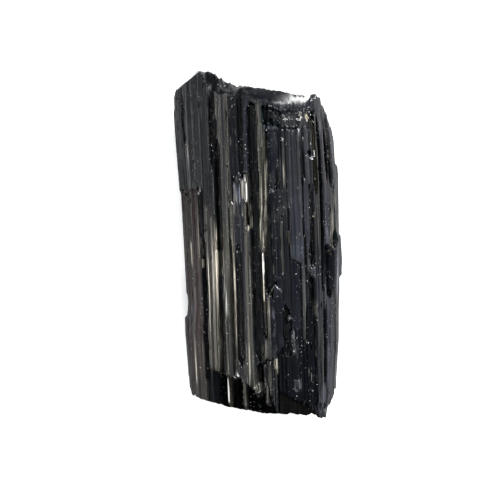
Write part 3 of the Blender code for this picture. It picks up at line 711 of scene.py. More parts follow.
def sideStrips():
    # columns of uneven width that fill a stretch of the outline, then narrow ribs on each
    random = np.random.default_rng(sides["seed"])
    ribs = np.random.default_rng(sides["ribSeed"])
    leftStart = outline.alongAt(sides["topEnds"][0], outline.top) - outline.length
    base = [outline.alongAt(ends, outline.base) for ends in sides["baseColumns"]]
    strips = []
    stretches = ((leftStart, base[0][0]), (base[-1][1], outline.alongAt(sides["topEnds"][1], outline.top)))
    for start, end in stretches:
        count = round((end - start) / (np.mean(sides["width"]) + np.mean(sides["gap"])))
        widths, gaps = random.uniform(*sides["width"], count), random.uniform(*sides["gap"], count + 1)
        scale = (end - start) / (widths.sum() + gaps.sum())
        place = start
        for width, gap in zip(widths, gaps):
            place += gap * scale
            startCrest, endCrest = random.uniform(*sides["crest"], 2)
            groove, low, high, drop = random.uniform(*sides["groove"]), -full, full, 0.0
            if random.random() < sides["broken"]:
                short, drop = random.uniform(*sides["short"]), random.uniform(*sides["drop"])
                low, high = (short - 36, full) if random.random() < 0.5 else (-full, 32 - short)
            stop = place + width * scale
            strips.append(Strip(place - 0.6, stop + 0.6, -full, full, groove, groove, "floor"))
            if drop:
                strips.append(Strip(place, stop, -full, full, startCrest + drop, endCrest + drop, "rough"))
            strips += ribsOn(place, stop, low, high, startCrest, endCrest, ribs)
            place = stop
    groove = sides["baseGroove"]
    for start, end in base:
        strips.append(Strip(start, end, -full, full, 0.0, 0.0, "plain"))
        strips.append(Strip(start - 0.7, end + 0.7, -full, full, groove, groove, "floor"))
    return strips


def ribsOn(start, end, low, high, startCrest, endCrest, ribs):
    # narrow ribs side by side over one column, each on a plain one a little deeper
    place, lastFinish = start, "plain"
    while place < end - 0.2:
        width = min(ribs.uniform(*sides["ribWidth"]) ** 1.3, end - place)
        share = (place - start) / (end - start)
        crest = startCrest + (endCrest - startCrest) * share
        lift = ribs.uniform(*sides["ribCrest"], 2)
        finish = str(ribs.choice(sides["ribFinishes"])) if ribs.random() < 0.6 else lastFinish
        ribLow, ribHigh = low, high
        if ribs.random() < 0.35:
            ribLow = max(low, ribs.uniform(-36, 0))
        if ribs.random() < 0.35:
            ribHigh = min(high, ribs.uniform(5, 34))
        lift = np.maximum(0.0, crest + lift)
        yield Strip(place, place + width, ribLow, ribHigh, *lift, finish)
        yield Strip(place, place + width, low, high, lift[0] + 0.22, lift[1] + 0.18, "plain")
        lastFinish = finish
        place += width + ribs.uniform(*sides["ribGap"])


surface = dict(
    topSpacing=0.13,  # between lines along the crystal, on the top face and elsewhere
    sideSpacing=0.25,
    topFaceEnds=(-18.8, 18.8),
    rows=235,
    endBand=16.0,  # length over which the rows come to follow the breaks
    deepest=3.2,
    wall=3.4,  # slope of a strip's sides
    rounding=0.035,  # how much deeper a strip's edges are than its middle
    soft=0.07,  # how gently strips run into each other
    wobble=0.022,  # how far a strip's edges wander
    ragged=0.35,  # how uneven a strip's ends are
    grain=[(0.27, 26.0, 0.030), (0.5, 38.0, 0.045), (1.3, 60.0, 0.05)],  # groove width, length and depth
    roughGrain=(0.45, 2.2, 0.10),  # the same for broken ground, by how dull it is
    # uneven colour: width, length and strength
    streaks=[(0.27, 30.0, 0.36), (0.62, 44.0, 0.26), (2.2, 26.0, 0.20)],
    nicks=260,
    nickSeed=3,
    ridge=(0.3, 0.3, 0.5),  # height of a full ridge, how much paler it is and how much darker a hollow is as painted shade
    ridgeLines=6,  # lines to each side that it is measured against
    ends=(0.5, 0.6, 0.35, 0.75),  # torn ends: least slope, over what, how much darker and duller
    steep=(0.55, 0.45, 0.3, 0.68),  # upper flanks made dull, painted shade: tilt on the left and right, over what, how dull
    steepFrom=(6.0, 3.0),  # height from which they are, and over what
    keep=0.55,  # share of the triangles that thinning keeps
    crease=34.0,  # degrees
)


class Surface:
    # depths and looks over the crystal's side, by line along it and place on the line
    def __init__(self):
        self.first, self.last = (outline.alongAt(x, outline.top) for x in reversed(surface["topFaceEnds"]))
        self.along = self.lines()
        self.point, self.inward = outline.point(self.along), outline.inward(self.along)
        self.onTop = np.flatnonzero((self.along > self.first - 2) & (self.along < self.last + 2))
        near, far = nearBreak(*self.point.T), farBreak(*self.point.T)
        for _ in range(2):  # the ends follow the breaks where the finished surface meets them
            self.y = self.rowsBetween(near, far)
            self.makeDepth()
            near, far = (meet(*(self.point + self.inward * self.depth[:, [row]]).T)
                         for meet, row in ((nearBreak, 0), (farBreak, -1)))
        self.y = self.rowsBetween(near, far)

    def lines(self):
        wide = self.last - self.first
        top = np.linspace(self.first, self.last, round(wide / surface["topSpacing"]), endpoint=False)
        rest = outline.length - wide
        side = self.last + np.linspace(0, rest, round(rest / surface["sideSpacing"]), endpoint=False)
        return np.sort(np.concatenate([top, side]) % outline.length)

    def rowsBetween(self, near, far):
        share = np.linspace(0.0, 1.0, surface["rows"])
        low, high = near.mean(), far.mean()
        middle = low + (high - low) * share
        fade = lambda gap: held(1 - gap / surface["endBand"]) ** 1.3
        toNear = (near - low)[:, None] * fade(middle - low)
        return middle + toNear + (far - high)[:, None] * fade(high - middle)

    def linesNear(self, piece, reach):
        # the top face's lines that a piece may touch, and their x
        aside = reach + abs(piece.lean) * (piece.high - piece.low) / 2
        x = self.point[self.onTop, 0]
        near = (x > piece.start - aside) & (x < piece.end + aside)
        return self.onTop[near], x[near]

    def sideways(self, piece, lines, across):
        # the distance across, straightened along a leaning piece and wandering a little
        middle = (piece.low + piece.high) / 2 if piece.lean else 0.0
        y = self.y[lines]
        own = np.full(y.shape, piece.start * 7.3 + piece.high)  # makes each piece wander its own way
        wander = surface["wobble"] * latticeNoise(y, own, 7.0, 1.0, 61)
        return across[:, None] - piece.lean * (y - middle) - wander, y

    def lay(self, strip, lines, across):
        # puts the strip where it stands higher than what is there
        u, y = self.sideways(strip, lines, across)
        width = max(strip.end - strip.start, 1e-6)
        share = held((u - strip.start) / width)
        crest = strip.startDepth + (strip.endDepth - strip.startDepth) * share
        crest = crest + surface["rounding"] * min(width, 1.3) * (2 * share - 1) ** 2
        outside = np.maximum(0.0, np.maximum(strip.start - u, u - strip.end))
        middle = np.abs(share - 0.5) * width * strip.point
        uneven = surface["ragged"] * self.raggedness[lines]
        past = np.maximum((strip.low + middle + uneven - y) * strip.fadeLow,
                          (y - strip.high + middle + uneven) * strip.fadeHigh)
        self.blend(lines, crest + outside * surface["wall"] + np.maximum(0.0, past), strip.finish, 1)

    def cut(self, cut, lines, across):
        # takes the surface down to the cut's depth
        u, y = self.sideways(cut, lines, across)
        toEnd = np.minimum(y - cut.low, cut.high - y) + surface["ragged"] * 0.5 * self.raggedness[lines]
        narrow = (cut.end - cut.start) / 2 * held(1 - toEnd / cut.taper)
        low, high = (cut.stray * latticeNoise(y, np.full(y.shape, cut.low + shift), 1.7, 1.0, 63)
                     for shift in (0.3, 9.6))
        edge = np.maximum(cut.start + narrow + low - u, u - cut.end + narrow + high)
        outside = np.maximum(0.0, edge) * surface["wall"]
        self.blend(lines, cut.depth - outside - np.maximum(0.0, -toEnd) * 3, cut.finish, -1)

    def blend(self, lines, height, finish, way):
        # the higher of two surfaces where way is 1 and the deeper where it is -1, run softly together
        here, soft = self.depth[lines], surface["soft"]
        share = held(0.5 + 0.5 * way * (here - height) / soft)
        self.depth[lines] = here * (1 - share) + height * share - way * soft * share * (1 - share)
        look = finishes[finish]
        values = np.array([*look.tone, look.rough, look.grain, look.dull])
        self.look[lines] = self.look[lines] * (1 - share)[..., None] + values * share[..., None]

    def makeDepth(self):
        along, y = self.along[:, None] + 0 * self.y, self.y
        look = finishes["floor"]
        self.depth = np.full(y.shape, surface["deepest"])
        self.look = np.zeros((*y.shape, 6)) + [*look.tone, look.rough, look.grain, look.dull]
        self.raggedness = latticeNoise(along, y, 0.34, 3.0, 41, outline.length)
        reach = 1.0
        for strip in sideStrips():
            for turn in (-outline.length, 0, outline.length):
                place = self.along + turn
                near = np.flatnonzero((place > strip.start - reach) & (place < strip.end + reach))
                if len(near):
                    self.lay(strip, near, place[near])
        for action, pieces in ((self.lay, topStrips), (self.cut, topCuts), (self.lay, lateStrips)):
            for piece in pieces:
                action(piece, *self.linesNear(piece, reach))
        relief = sum(height * latticeNoise(along, y, width, length, 50 + index, outline.length)
                     for index, (width, length, height) in enumerate(surface["grain"]))
        width, length, height = surface["roughGrain"]
        broken = height * latticeNoise(along, y, width, length, 47, outline.length) * self.look[..., 5]
        raised = self.point[:, 1:2] > 0.02
        self.depth += raised * (relief * (0.35 + 0.65 * self.look[..., 4]) + broken)
        self.addNicks()
        self.depth = np.maximum(self.depth, 0.0)

    def addNicks(self):
        # small chips knocked out of the surface
        random = np.random.default_rng(surface["nickSeed"])
        for _ in range(surface["nicks"]):
            along, y = random.uniform(0, outline.length), random.uniform(-40, 38)
            wide, long = random.uniform(0.15, 0.4), random.uniform(0.3, 1.6)
            deep = random.uniform(0.05, 0.3)
            near = np.flatnonzero(np.abs(self.along - along) < wide)
            if not len(near) or self.point[near[0], 1] < 0.05:
                continue
            gap = np.hypot((self.along[near, None] - along) / wide, (self.y[near] - y) / long)
            self.depth[near] += deep * held((1 - gap) * 1.6)

    def narrowed(self, x, y, z):
        # x drawn in to the crystal's edges as seen from above
        edge = np.where(x < 0, curve(section["leftEdge"], y), curve(section["rightEdge"], y))
        steps = np.where(x < 0, curve(section["leftSteps"], y), curve(section["rightSteps"], y))
        middle, tall = section["stepHeight"]
        edge = edge + steps * np.exp(-((z - middle) / tall) ** 4)
        grip = (np.abs(x) / outline.halfWidth) ** section["edgeGrip"]
        return x - np.sign(x) * (outline.halfWidth - edge) * grip

    def places(self):
        # the vertices in millimetres, lines by rows
        flat = self.point[:, None, :] + self.inward[:, None, :] * self.depth[..., None]
        return np.stack([self.narrowed(flat[..., 0], self.y, flat[..., 1]), self.y, flat[..., 1]], axis=-1)

    def looks(self):
        # colour, roughness and dullness by line and row: ridges a little paler, hollows darker as painted
        # shade
        along = self.along[:, None] + 0 * self.y
        streak = sum(strength * latticeNoise(along, self.y, width, length, 70 + index, outline.length)
                     for index, (width, length, strength) in enumerate(surface["streaks"]))
        reach, (tall, paler, darker) = surface["ridgeLines"], surface["ridge"]
        shifts = range(-reach, reach + 1)
        around = sum(np.roll(self.depth, shift, axis=0) for shift in shifts) / len(shifts)
        ridge = np.clip((around - self.depth) / tall, -1, 1)
        tones = self.look[..., :3] * (1 + paler * held(ridge) + darker * np.clip(ridge, -1, 0))[..., None]
        tones = tones * np.exp(streak)[..., None]
        rough, dull = self.look[..., 3], self.look[..., 5]
        climb = np.abs(np.gradient(self.depth, axis=1)) / np.abs(np.gradient(self.y, axis=1))
        least, over, darker, dullerAndShaded = surface["ends"]
        ends = held((climb - least) / over)
        tones = tones * (1 - darker * ends)[..., None]
        dull = dull + dullerAndShaded * ends * (1 - dull)
        paintedLightAndTint = np.zeros((*self.y.shape, 4)) + [*tintAndPaintedLightColours["olive"], 0]
        # tints, painted highlights and painted shade laid over the top face
        for patch in tintsAndPaintedLight:
            lines, across = self.linesNear(patch, 0.6)
            u, y = self.sideways(patch, lines, across)
            inside = np.minimum(u - patch.start, patch.end - u) / patch.edge + 0.5
            toEnd = np.minimum(y - patch.low, patch.high - y) + 0.6 * self.raggedness[lines]
            cover = patch.strength * held(inside) * held(toEnd / patch.ends)
            share, here = held(cover), paintedLightAndTint[lines]
            part = cover / (cover + here[..., 3] * (1 - share) + 1e-6)
            here[..., :3] += (np.array(tintAndPaintedLightColours[patch.colour]) - here[..., :3]) * part[..., None]
            here[..., 3] = np.maximum(here[..., 3], cover)
            paintedLightAndTint[lines] = here
            dull[lines] *= 1 - share
        # painted shade: the steep upper flanks made dull
        left, right, over, dullerAndShaded = surface["steep"]
        steep = held((np.abs(self.inward[:, :1]) - np.where(self.point[:, :1] > 0, right, left)) / over)
        low, over = surface["steepFrom"]
        steep = steep * held((self.point[:, 1:2] - low) / over)
        dull = held(dull + dullerAndShaded * steep * (1 - dull))
        return tones, rough, dull, self.look[..., 4], paintedLightAndTint


def meshFrom(name, vertices, faces, tones, rough, dull, threads, paintedLightAndTint):
    # a mesh whose vertices carry what the material reads
    mesh = bpy.data.meshes.new(name)
    middle = np.array([*section["middle"], 0.0])
    mesh.from_pydata(((vertices - middle) * metres).tolist(), [], faces)
    for key, values in dict(tone=np.column_stack([tones, threads]), paintedLightAndTint=paintedLightAndTint).items():
        mesh.attributes.new(key, "FLOAT_COLOR", "POINT").data.foreach_set("color", values.ravel())
    for key, values in dict(rough=rough, dull=dull).items():
        mesh.attributes.new(key, "FLOAT", "POINT").data.foreach_set("value", values)
    return mesh


def breakFill(ring, height, flip):
    # points inside a ring of vertices on one break, and the triangles between them all
    edge = ring[:, [0, 2]]
    random = np.random.default_rng(7)
    step = breaks["spacing"]
    ranges = (np.arange(low, high, step) for low, high in zip(edge.min(axis=0), edge.max(axis=0)))
    x, z = (axis.ravel() for axis in np.meshgrid(*ranges))
    x, z = x + random.uniform(-0.4, 0.4, x.shape) * step, z + random.uniform(-0.4, 0.4, z.shape) * step
    inside = np.zeros(x.shape, bool)
    clear = np.full(x.shape, 9.0)
    for (x0, z0), (x1, z1) in zip(edge, np.roll(edge, -1, axis=0)):
        if z0 != z1:
            inside ^= ((z0 > z) != (z1 > z)) & (x < (x1 - x0) * (z - z0) / (z1 - z0) + x0)
        clear = np.minimum(clear, np.hypot(x - x0, z - z0))
    keep = inside & (clear > step * 0.55)
    x, z = x[keep], z[keep]
    points = [Vector(point) for point in [*edge, *np.column_stack([x, z])]]
    rim = [(index, (index + 1) % len(edge)) for index in range(len(edge))]
    _, _, triangles, origins, _, _ = delaunay_2d_cdt(points, rim, [], 1, 1e-7)
    corners = [[origins[corner][0] for corner in triangle] for triangle in triangles]
    if flip:
        corners = [corner[::-1] for corner in corners]
    return np.column_stack([x, height(x, z), z]), corners


breakFinish = dict(
    fresh=(0.35, 0.7),  # share of fresh paler facets, and how much it varies
    freshLook=[0, 0, 0, 0.18, 0.42],  # what they add to the plain finish
    # the smooth slope: first x and over what, last x and over what, depth past its foot and over what
    shine=(-3.0, 2.0, 17.2, 1.2, 0.9, 0.8),
    dullLeft=(0.6, 9.8, 3.0),  # its dull left part, and its dull upper edge
    dullEdge=(0.45, 0.6),
    rim=(1.6, -2.5),  # pale rim along the rough crest: how wide, and to which x
    patch=(-5.6, 37.4, 2.6, 1.3, 0.6),  # pale patch beside it: x, y, half width, half height, strength
)


def breakLooks(points, far):
    # colour, roughness and dullness of a break: smooth on the far one's right side, with painted shade in its
    # hollows
    x, y, z = points.T
    rough, glassy, pit, plain = (np.array([*look.tone, look.rough, look.dull]) for look in
                                 map(finishes.get, ("rough", "glassy", "pit", "plain")))
    looks = np.tile(rough, (len(points), 1))
    facet = cellNoise(x, z, breaks["cellSize"], 5 if far else 8) + 0.5 * cellNoise(x, z, 1.1, 24)
    share, varied = breakFinish["fresh"]
    fresh = held(share + varied * facet)[:, None]
    looks += fresh * (plain * [0.8, 0.8, 0.8, 1, 1] + breakFinish["freshLook"] - looks)
    if far:
        rise, below = curve(breaks["farRise"], x), outline.topHeight(x) - z
        start, startOver, end, endOver, past, pastOver = breakFinish["shine"]
        shine = held((x - start) / startOver) * held((end - x) / endOver)
        shine = shine * held((rise + past - below) / pastOver)
        slope = np.tile(glassy, (len(points), 1))
        (left, leftTo, leftOver), (edge, edgeOver) = breakFinish["dullLeft"], breakFinish["dullEdge"]
        slope[:, 4] = left * held((leftTo - x) / leftOver) + edge * held(1 - below / rise / edgeOver)
        looks += shine[:, None] * (slope - looks)
        wide, lastX = breakFinish["rim"]
        rim = held(1 - (curve(breaks["farCrest"], x) - y) / wide) * (x < lastX) * (below <= rise + 0.5)
        middle, height, halfWidth, halfHeight, strength = breakFinish["patch"]
        rim = np.maximum(rim, strength * (np.hypot((x - middle) / halfWidth, (y - height) / halfHeight) < 1))
        looks += rim[:, None] * (plain * [1.5, 1.5, 1.5, 1, 1] - looks)
        ragged = 0.3 * cellNoise(x, y, 0.7, 21)
        # painted shade: the dark pit finish laid over the far break's hollows
        for middle, height, halfWidth, halfHeight in breaks["dark"]:
            gap = np.hypot((x - middle) / halfWidth, (y - height) / halfHeight)
            inside = held((1.05 - gap + ragged) * 5) * (z > 16)
            looks += inside[:, None] * (pit - looks)
    return looks[:, :3], looks[:, 3], looks[:, 4]


def buildCrystal():
    # the skin, a fill for each broken end, and the grains, as one mesh
    skin = Surface()
    places = skin.places()
    lines, rows = places.shape[:2]
    print("surface", lines, "lines of", rows)
    index = np.arange(lines * rows).reshape(lines, rows)
    beside = np.roll(index, -1, axis=0)
    quads = np.stack([index[:, :-1], index[:, 1:], beside[:, 1:], beside[:, :-1]], axis=-1)
    faces = quads.reshape(-1, 4).tolist()
    parts = [[values.reshape(lines * rows, *values.shape[2:]) for values in (places, *skin.looks())]]
    for end, height, flip in ((0, nearBreak, False), (-1, farBreak, True)):
        first = sum(len(part[0]) for part in parts)
        points, corners = breakFill(places[:, end], height, flip)
        lookup = [*index[:, end].tolist(), *range(first, first + len(points))]
        faces += [[lookup[corner] for corner in triangle] for triangle in corners]
        parts.append([points, *breakLooks(points, flip), np.zeros(len(points)), np.zeros((len(points), 4))])
    vertices, *looks = map(np.concatenate, zip(*parts))
    piece = bpy.data.objects.new("crystal", meshFrom("crystal", vertices, faces, *looks))
    bpy.context.scene.collection.objects.link(piece)
    thin(piece)
    addGrains(piece, places)
    piece.data.shade_smooth()
    piece.data.set_sharp_from_angle(angle=math.radians(surface["crease"]))
    print("crystal", len(piece.data.polygons), "faces")
    return piece


# crumbs of other minerals caught on the top face: x, y, spread across and along, how many, size, colour
Grains = namedtuple("Grains", "x y across along count size colour", defaults=(0.1, 0.1, 1, 0.2, "chalk"))
grainColours = dict(
    chalk=(0.55, 0.54, 0.52),
    cream=(0.55, 0.50, 0.38),
    white=(0.80, 0.80, 0.80),
    ash=(0.30, 0.30, 0.31),
)
grains = [Grains(*row) for row in [
    (7, 29.7, 0.35, 0.8, 14, 0.12, "ash"), (7.35, 28.8, 0.3, 0.3, 22, 0.14),
    (10.5, 28.8, 0.45, 0.25, 16, 0.14), (11.1, 29.3, 0.25, 0.5, 18, 0.14),
    (11.15, 30.3, 0.08, 0.7, 9, 0.12), (10.75, 30.2, 0.06, 0.4, 6, 0.1),
    (12.4, 29.3, 0.35, 0.7, 34, 0.17, "cream"), (12.9, 30.4, 0.15, 0.4, 6, 0.13),
    (13.6, 29.9, 0.5, 0.2, 10, 0.11, "white"), (8.8, 32.5, 0.15, 0.2, 4, 0.14),
    (8.7, 29, 0.8, 0.8, 9, 0.08), (6.4, 31.9, 0.15, 0.3, 3, 0.13, "ash"),
    (13, 31.8, 0.2, 0.3, 3, 0.14, "ash"), (5.6, 30.6, 1.1, 0.9, 7, 0.07, "ash"),
    (14, 28.2, 0.1, 0.2, 2, 0.14, "ash"), (13.4, 19.4, 0.55, 0.3, 15, 0.15, "white"),
    (14, 20.3, 0.3, 0.3, 9, 0.14, "white"), (13.7, 33.4, 0.3, 0.3, 6, 0.15, "white"),
    (14.6, 33.9, 0.35, 0.2, 8, 0.14, "white"), (13.2, 23, 0.2, 0.3, 6, 0.12),
    (13.9, 21.3, 0.1, 0.2, 2, 0.14, "white"), (7.4, 23.1, 0.15, 0.2, 3, 0.12, "ash"),
    (11.5, 24.2, 0.1, 0.35, 5, 0.12), (-2.1, -34.4, 0.3, 0.4, 9, 0.17), (14.5, -4.1, 0.1, 0.2, 3, 0.12),
    (13.2, 5.6, 0.15, 0.2, 3, 0.12, "cream"), (6.9, -18.2, 0.3, 0.4, 8, 0.14, "ash"),
    (7.5, -22.6, 0.25, 0.9, 12, 0.13, "ash"), (-5.1, -2.2, 0.15, 0.3, 3, 0.12),
    (-5.1, -24, 0.2, 2.6, 9, 0.1, "ash"), (-2.2, -27, 0.15, 1, 5, 0.1, "ash"),
    (-12, 8.3, 0.1, 0.2, 2, 0.12, "white"),
]]
# single bright white grains, partly pale grains and partly painted glints, and what is scattered all over
sparkles = [(12.3, 7.8), (14.6, 10.8), (-5.2, -6.3), (-5.2, -8.8), (8.6, -7.8), (11.2, -9.7),
            (9.7, -10.3), (-3.7, -28.7), (11, -24), (12.6, -34.3), (7.8, -36.8), (-16.6, 24.2),
            (-10.5, 23.4), (-10.1, 22.4), (-1.2, 32.3), (-4, 24), (-2.4, 23.3), (2.8, 26.5),
            (-15, -29.5), (-13.1, -29.5), (-4, 15.2), (-2.3, 22.3), (6.7, -18), (-5.3, 15.8)]
scatter = dict(count=110, size=(0.06, 0.13), sparkle=0.13, rough=0.4, dull=0.3, seed=19)


def addGrains(piece, places):
    # small broken lumps half sunk in the surface, joined to the crystal
    random = np.random.default_rng(scatter["seed"])
    lump = bmesh.new()
    bmesh.ops.create_icosphere(lump, subdivisions=1, radius=1.0)
    ball = np.array([corner.co for corner in lump.verts])
    triangles = np.array([[corner.index for corner in face.verts] for face in lump.faces])
    lump.free()
    spots = []
    for group in grains:
        for _ in range(group.count):
            x = group.x + random.normal(0, 0.6) * group.across
            y = group.y + random.normal(0, 0.6) * group.along
            spots.append((x, y, group.size * random.uniform(0.5, 1.25), group.colour))
    spots += [(x, y, scatter["sparkle"], "white") for x, y in sparkles]
    centres = [(nearestPlace(places, x, y), size, colour) for x, y, size, colour in spots]
    for _ in range(scatter["count"]):
        line, row = random.integers(places.shape[0]), random.integers(8, places.shape[1] - 8)
        if places[line, row, 2] > 0.6:
            size = random.uniform(*scatter["size"])
            centres.append((places[line, row], size, random.choice(["ash", "chalk"])))
    vertices, faces, tones = [], [], []
    for place, size, colour in centres:
        turn = np.linalg.qr(random.normal(size=(3, 3)))[0]
        shape = ball * random.uniform(0.65, 1.2, (len(ball), 1)) * random.uniform(0.6, 1.3, 3)
        faces.append(triangles + sum(map(len, vertices)))
        vertices.append(shape @ turn * size + place)
        tones.append(np.tile(np.array(grainColours[colour]) * random.uniform(0.7, 1.2), (len(ball), 1)))
    count = sum(map(len, vertices))
    looks = (np.vstack(tones), np.full(count, scatter["rough"]), np.full(count, scatter["dull"]),
             np.zeros(count), np.zeros((count, 4)))
    mesh = meshFrom("grains", np.vstack(vertices), np.vstack(faces).tolist(), *looks)
    crumbs = bpy.data.objects.new("grains", mesh)
    bpy.context.scene.collection.objects.link(crumbs)
    print("grains", len(centres))
    both = [piece, crumbs]
    with bpy.context.temp_override(active_object=piece, object=piece, selected_editable_objects=both):
        bpy.ops.object.join()


def nearestPlace(places, x, y):
    # the surface's point nearest to x, y as seen from above
    gap = np.hypot(places[..., 0] - x, places[..., 1] - y) + 9.0 * (places[..., 2] < 9)
    return places[np.unravel_index(gap.argmin(), gap.shape)]


def thin(piece):
    # takes away the triangles that flat places don't need
    modifier = piece.modifiers.new("thin", "DECIMATE")
    modifier.ratio = surface["keep"]
    bpy.context.view_layer.update()
    fewer = bpy.data.meshes.new_from_object(piece.evaluated_get(bpy.context.evaluated_depsgraph_get()))
    piece.modifiers.remove(modifier)
    piece.data = fewer


class Wire:
    # a socket that Python sums can be done on
    def __init__(self, bench, socket):
        self.bench, self.socket = bench, socket

    def __add__(self, other):
        return self.bench.sum("ADD", self, other)

    def __radd__(self, other):
        return self.bench.sum("ADD", other, self)

    def __sub__(self, other):
        return self.bench.sum("SUBTRACT", self, other)

    def __rsub__(self, other):
        return self.bench.sum("SUBTRACT", other, self)

    def __mul__(self, other):
        return self.bench.sum("MULTIPLY", self, other)

    def __rmul__(self, other):
        return self.bench.sum("MULTIPLY", other, self)

    def held(self, low=0.0, high=1.0):
        return self.bench.sum("MINIMUM", self.bench.sum("MAXIMUM", self, low), high)


class Bench:
    # makes the nodes of one material
    def __init__(self, name):
        self.material = bpy.data.materials.new(name)
        self.material.use_nodes = True
        self.tree = self.material.node_tree
        self.tree.nodes.clear()

    def node(self, kind, settings=None, output=0, **sockets):
        made = self.tree.nodes.new(kind)
        for key, value in (settings or {}).items():
            setattr(made, key, value)
        for key, value in sockets.items():
            place = int(key[1:]) if key[1:].isdigit() else key.replace("_", " ")
            if isinstance(value, Wire):
                self.tree.links.new(value.socket, made.inputs[place])
            else:
                made.inputs[place].default_value = value
        return Wire(self, made.outputs[output]) if len(made.outputs) else made

    def sum(self, operation, first, second):
        return self.node("ShaderNodeMath", dict(operation=operation), i0=first, i1=second)

    def mix(self, share, first, second, blend="MIX"):
        settings = dict(data_type="RGBA", blend_type=blend)
        return self.node("ShaderNodeMix", settings, 2, i0=share, i6=first, i7=second)

    def attribute(self, name, output=0):
        # output 0 is its colour, 2 its value and 3 its alpha
        return self.node("ShaderNodeAttribute", dict(attribute_name=name), output)

    def noise(self, scale, detail):
        # noise in object coordinates, with its own scale on each axis
        place = self.node("ShaderNodeTexCoord", output=3)
        place = self.node("ShaderNodeVectorMath", dict(operation="MULTIPLY"), i0=place, i1=scale)
        return self.node("ShaderNodeTexNoise", Vector=place, Scale=1.0, Detail=detail, Roughness=0.55)

    def shader(self, **sockets):
        return self.node("ShaderNodeBsdfPrincipled", **sockets)

    def finished(self, surfaceShader):
        self.node("ShaderNodeOutputMaterial", Surface=surfaceShader)
        return self.material


stone = dict(
    # fine grooves along the crystal, wider ones, bands, patches and dust: scale on each axis and detail
    hair=((4600, 34, 4600), 2.0),
    line=((2100, 24, 2100), 2.0),
    band=((900, 40, 900), 3.0),
    cloud=((260, 110, 260), 4.0),
    dust=((2600, 2600, 2600), 1.0),
    specks=(0.33, 0.32, 0.30, 1),
    refraction=1.64,
    bump=0.6,
    bumpHeight=0.00009,  # metres
)


def tourmaline():
    # fine grooves and patches over the colours and finishes that the vertices carry
    bench = Bench("black_tourmaline")
    tone, threads = bench.attribute("tone"), bench.attribute("tone", 3)
    paintedLightAndTint, cover = bench.attribute("paintedLightAndTint"), bench.attribute("paintedLightAndTint", 3)
    rough, dull = bench.attribute("rough", 2), bench.attribute("dull", 2)
    noises = [bench.noise(*stone[name]) for name in ("hair", "line", "band", "cloud", "dust")]
    hair, line, band, cloud, dust = noises
    # pale specks, grooves that catch the light and grooves that don't
    speck = ((dust - 0.69) * 30).held() * ((cloud - 0.45) * 6).held()
    bright = ((hair - 0.55) * 7).held() * 0.9 + ((line - 0.56) * 8).held() * 1.1
    dim = ((0.5 - hair) * 4).held() + ((0.48 - line) * 5).held()
    shade = (0.55 + band * 0.8 + bright * threads) * (0.5 + cloud * 0.9) * (1.0 - dim * 0.35)
    # the tints and painted highlights laid on the top face show as broken threads
    streak = ((hair - 0.47) * 7).held() * 0.7 + ((line - 0.5) * 7).held() * 0.7
    base = bench.mix((cover * (streak + 0.05)).held(), tone, paintedLightAndTint)
    colour = bench.mix(1.0, base, bench.node("ShaderNodeCombineXYZ", X=shade, Y=shade, Z=shade), "MULTIPLY")
    colour = bench.mix(speck * 0.6, colour, stone["specks"])
    roughness = (rough + (band - 0.5) * 0.25 + (cloud - 0.5) * 0.2 + speck * 0.25).held(0.08, 0.9)
    height = (hair * 0.5 + line * 0.8 + band * 0.6 + dust * 0.15) * (threads * 0.9 + 0.1)
    normal = bench.node("ShaderNodeBump", Strength=stone["bump"], Distance=stone["bumpHeight"], Height=height)
    # the clean crystal, and a dull finish with no shine, which is also painted shade in grooves, hollows and
    # on the upper flanks
    clean = bench.shader(Base_Color=colour, Roughness=roughness, Normal=normal, IOR=stone["refraction"])
    dullAndShadeShader = bench.shader(Base_Color=colour, Roughness=0.9, Normal=normal, Specular_IOR_Level=0.0)
    share = (dull + dim * 0.22 * threads + (cloud - 0.5) * 0.3).held()
    return bench.finished(bench.node("ShaderNodeMixShader", i0=share, i1=clean, i2=dullAndShadeShader))


lights = dict(
    # place, size, power and colour
    key=((-0.60, -0.03, 0.44), (0.26, 0.10), 0.75, (1.0, 0.95, 0.84)),
    front=((-0.10, -0.65, 0.85), (0.40, 0.30), 13.0, (1, 1, 1)),
    far=((0.58, 0.54, 0.41), (0.42, 0.26), 20.0, (1, 1, 1)),
    right=((0.60, 0.10, 0.50), (0.35, 0.50), 0.15, (0.90, 0.93, 1.0)),
)
lightTarget = (0, 0, 0.015)
sky = dict(colour=(0.76, 0.87, 1.0, 1), strength=0.25)
ground = dict(size=6.0, near=(0.95, 0.95, 0.95, 1), away=(0.22, 0.23, 0.25, 1), plain=0.12, slope=5.0)


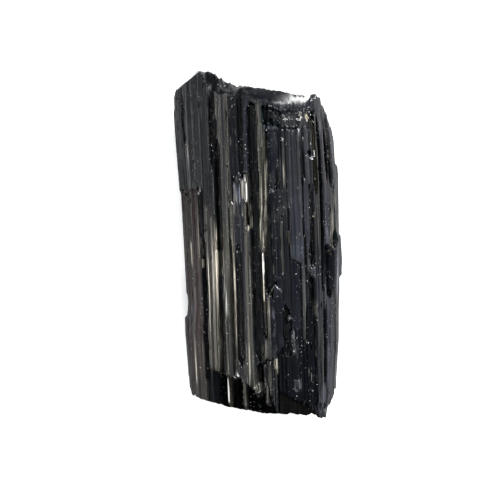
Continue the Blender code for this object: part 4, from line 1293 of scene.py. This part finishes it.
def light(name, place, size, power, colour):
    data = bpy.data.lights.new(name, "AREA")
    data.shape, data.size, data.size_y = "RECTANGLE", *size
    data.energy, data.color = power, colour
    lamp = bpy.data.objects.new(name, data)
    lamp.location = place
    lamp.rotation_euler = (Vector(lightTarget) - Vector(place)).to_track_quat("-Z", "Y").to_euler()
    lamp.visible_camera = False
    bpy.context.scene.collection.objects.link(lamp)


def floor():
    # a pale sheet that darkens away from the crystal: a painted pool of light round it, with painted shade
    # farther off
    bpy.ops.mesh.primitive_plane_add(size=ground["size"])
    sheet = bpy.context.object
    sheet.name = "floor"
    bench = Bench("pale_floor")
    place = bench.node("ShaderNodeTexCoord", output=3)
    away = bench.node("ShaderNodeVectorMath", dict(operation="LENGTH"), 1, i0=place)
    colour = bench.mix(((away - ground["plain"]) * ground["slope"]).held(), ground["near"], ground["away"])
    sheet.data.materials.append(bench.finished(bench.shader(Base_Color=colour, Roughness=0.9)))
    sheet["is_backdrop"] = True


view = dict(
    lens=180.0,
    sensor=36.0,
    distance=0.6025,  # metres above the height that is in scale
    inScale=0.016,
    centre=(-2.4, -1.4),  # what the middle of the picture sees
    roll=2.0,
)


def camera():
    data = bpy.data.cameras.new("camera")
    data.lens, data.sensor_width, data.clip_start = view["lens"], view["sensor"], 0.01
    eye = bpy.data.objects.new("camera", data)
    x, y = view["centre"]
    eye.location = (x * metres, y * metres, view["distance"] + view["inScale"])
    eye.rotation_euler = (0, 0, math.radians(-view["roll"]))
    bpy.context.scene.collection.objects.link(eye)
    bpy.context.scene.camera = eye


crystal = buildCrystal()
crystal.data.materials.clear()
crystal.data.materials.append(tourmaline())
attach(crystal, "root")
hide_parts("tourmaline_crystal")

floor()
for name, settings in lights.items():
    light(name, *settings)
world = bpy.data.worlds.new("studio")
bpy.context.scene.world = world
world.use_nodes = True
background = world.node_tree.nodes["Background"]
background.inputs["Color"].default_value = sky["colour"]
background.inputs["Strength"].default_value = sky["strength"]
print("floor and", len(lights), "lights")
bpy.context.scene.view_settings.view_transform = "Standard"
camera()

({"cad": [list(map(float, corner)) for corner in cadBox],
           "scene": [list(map(float, corner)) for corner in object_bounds()]})
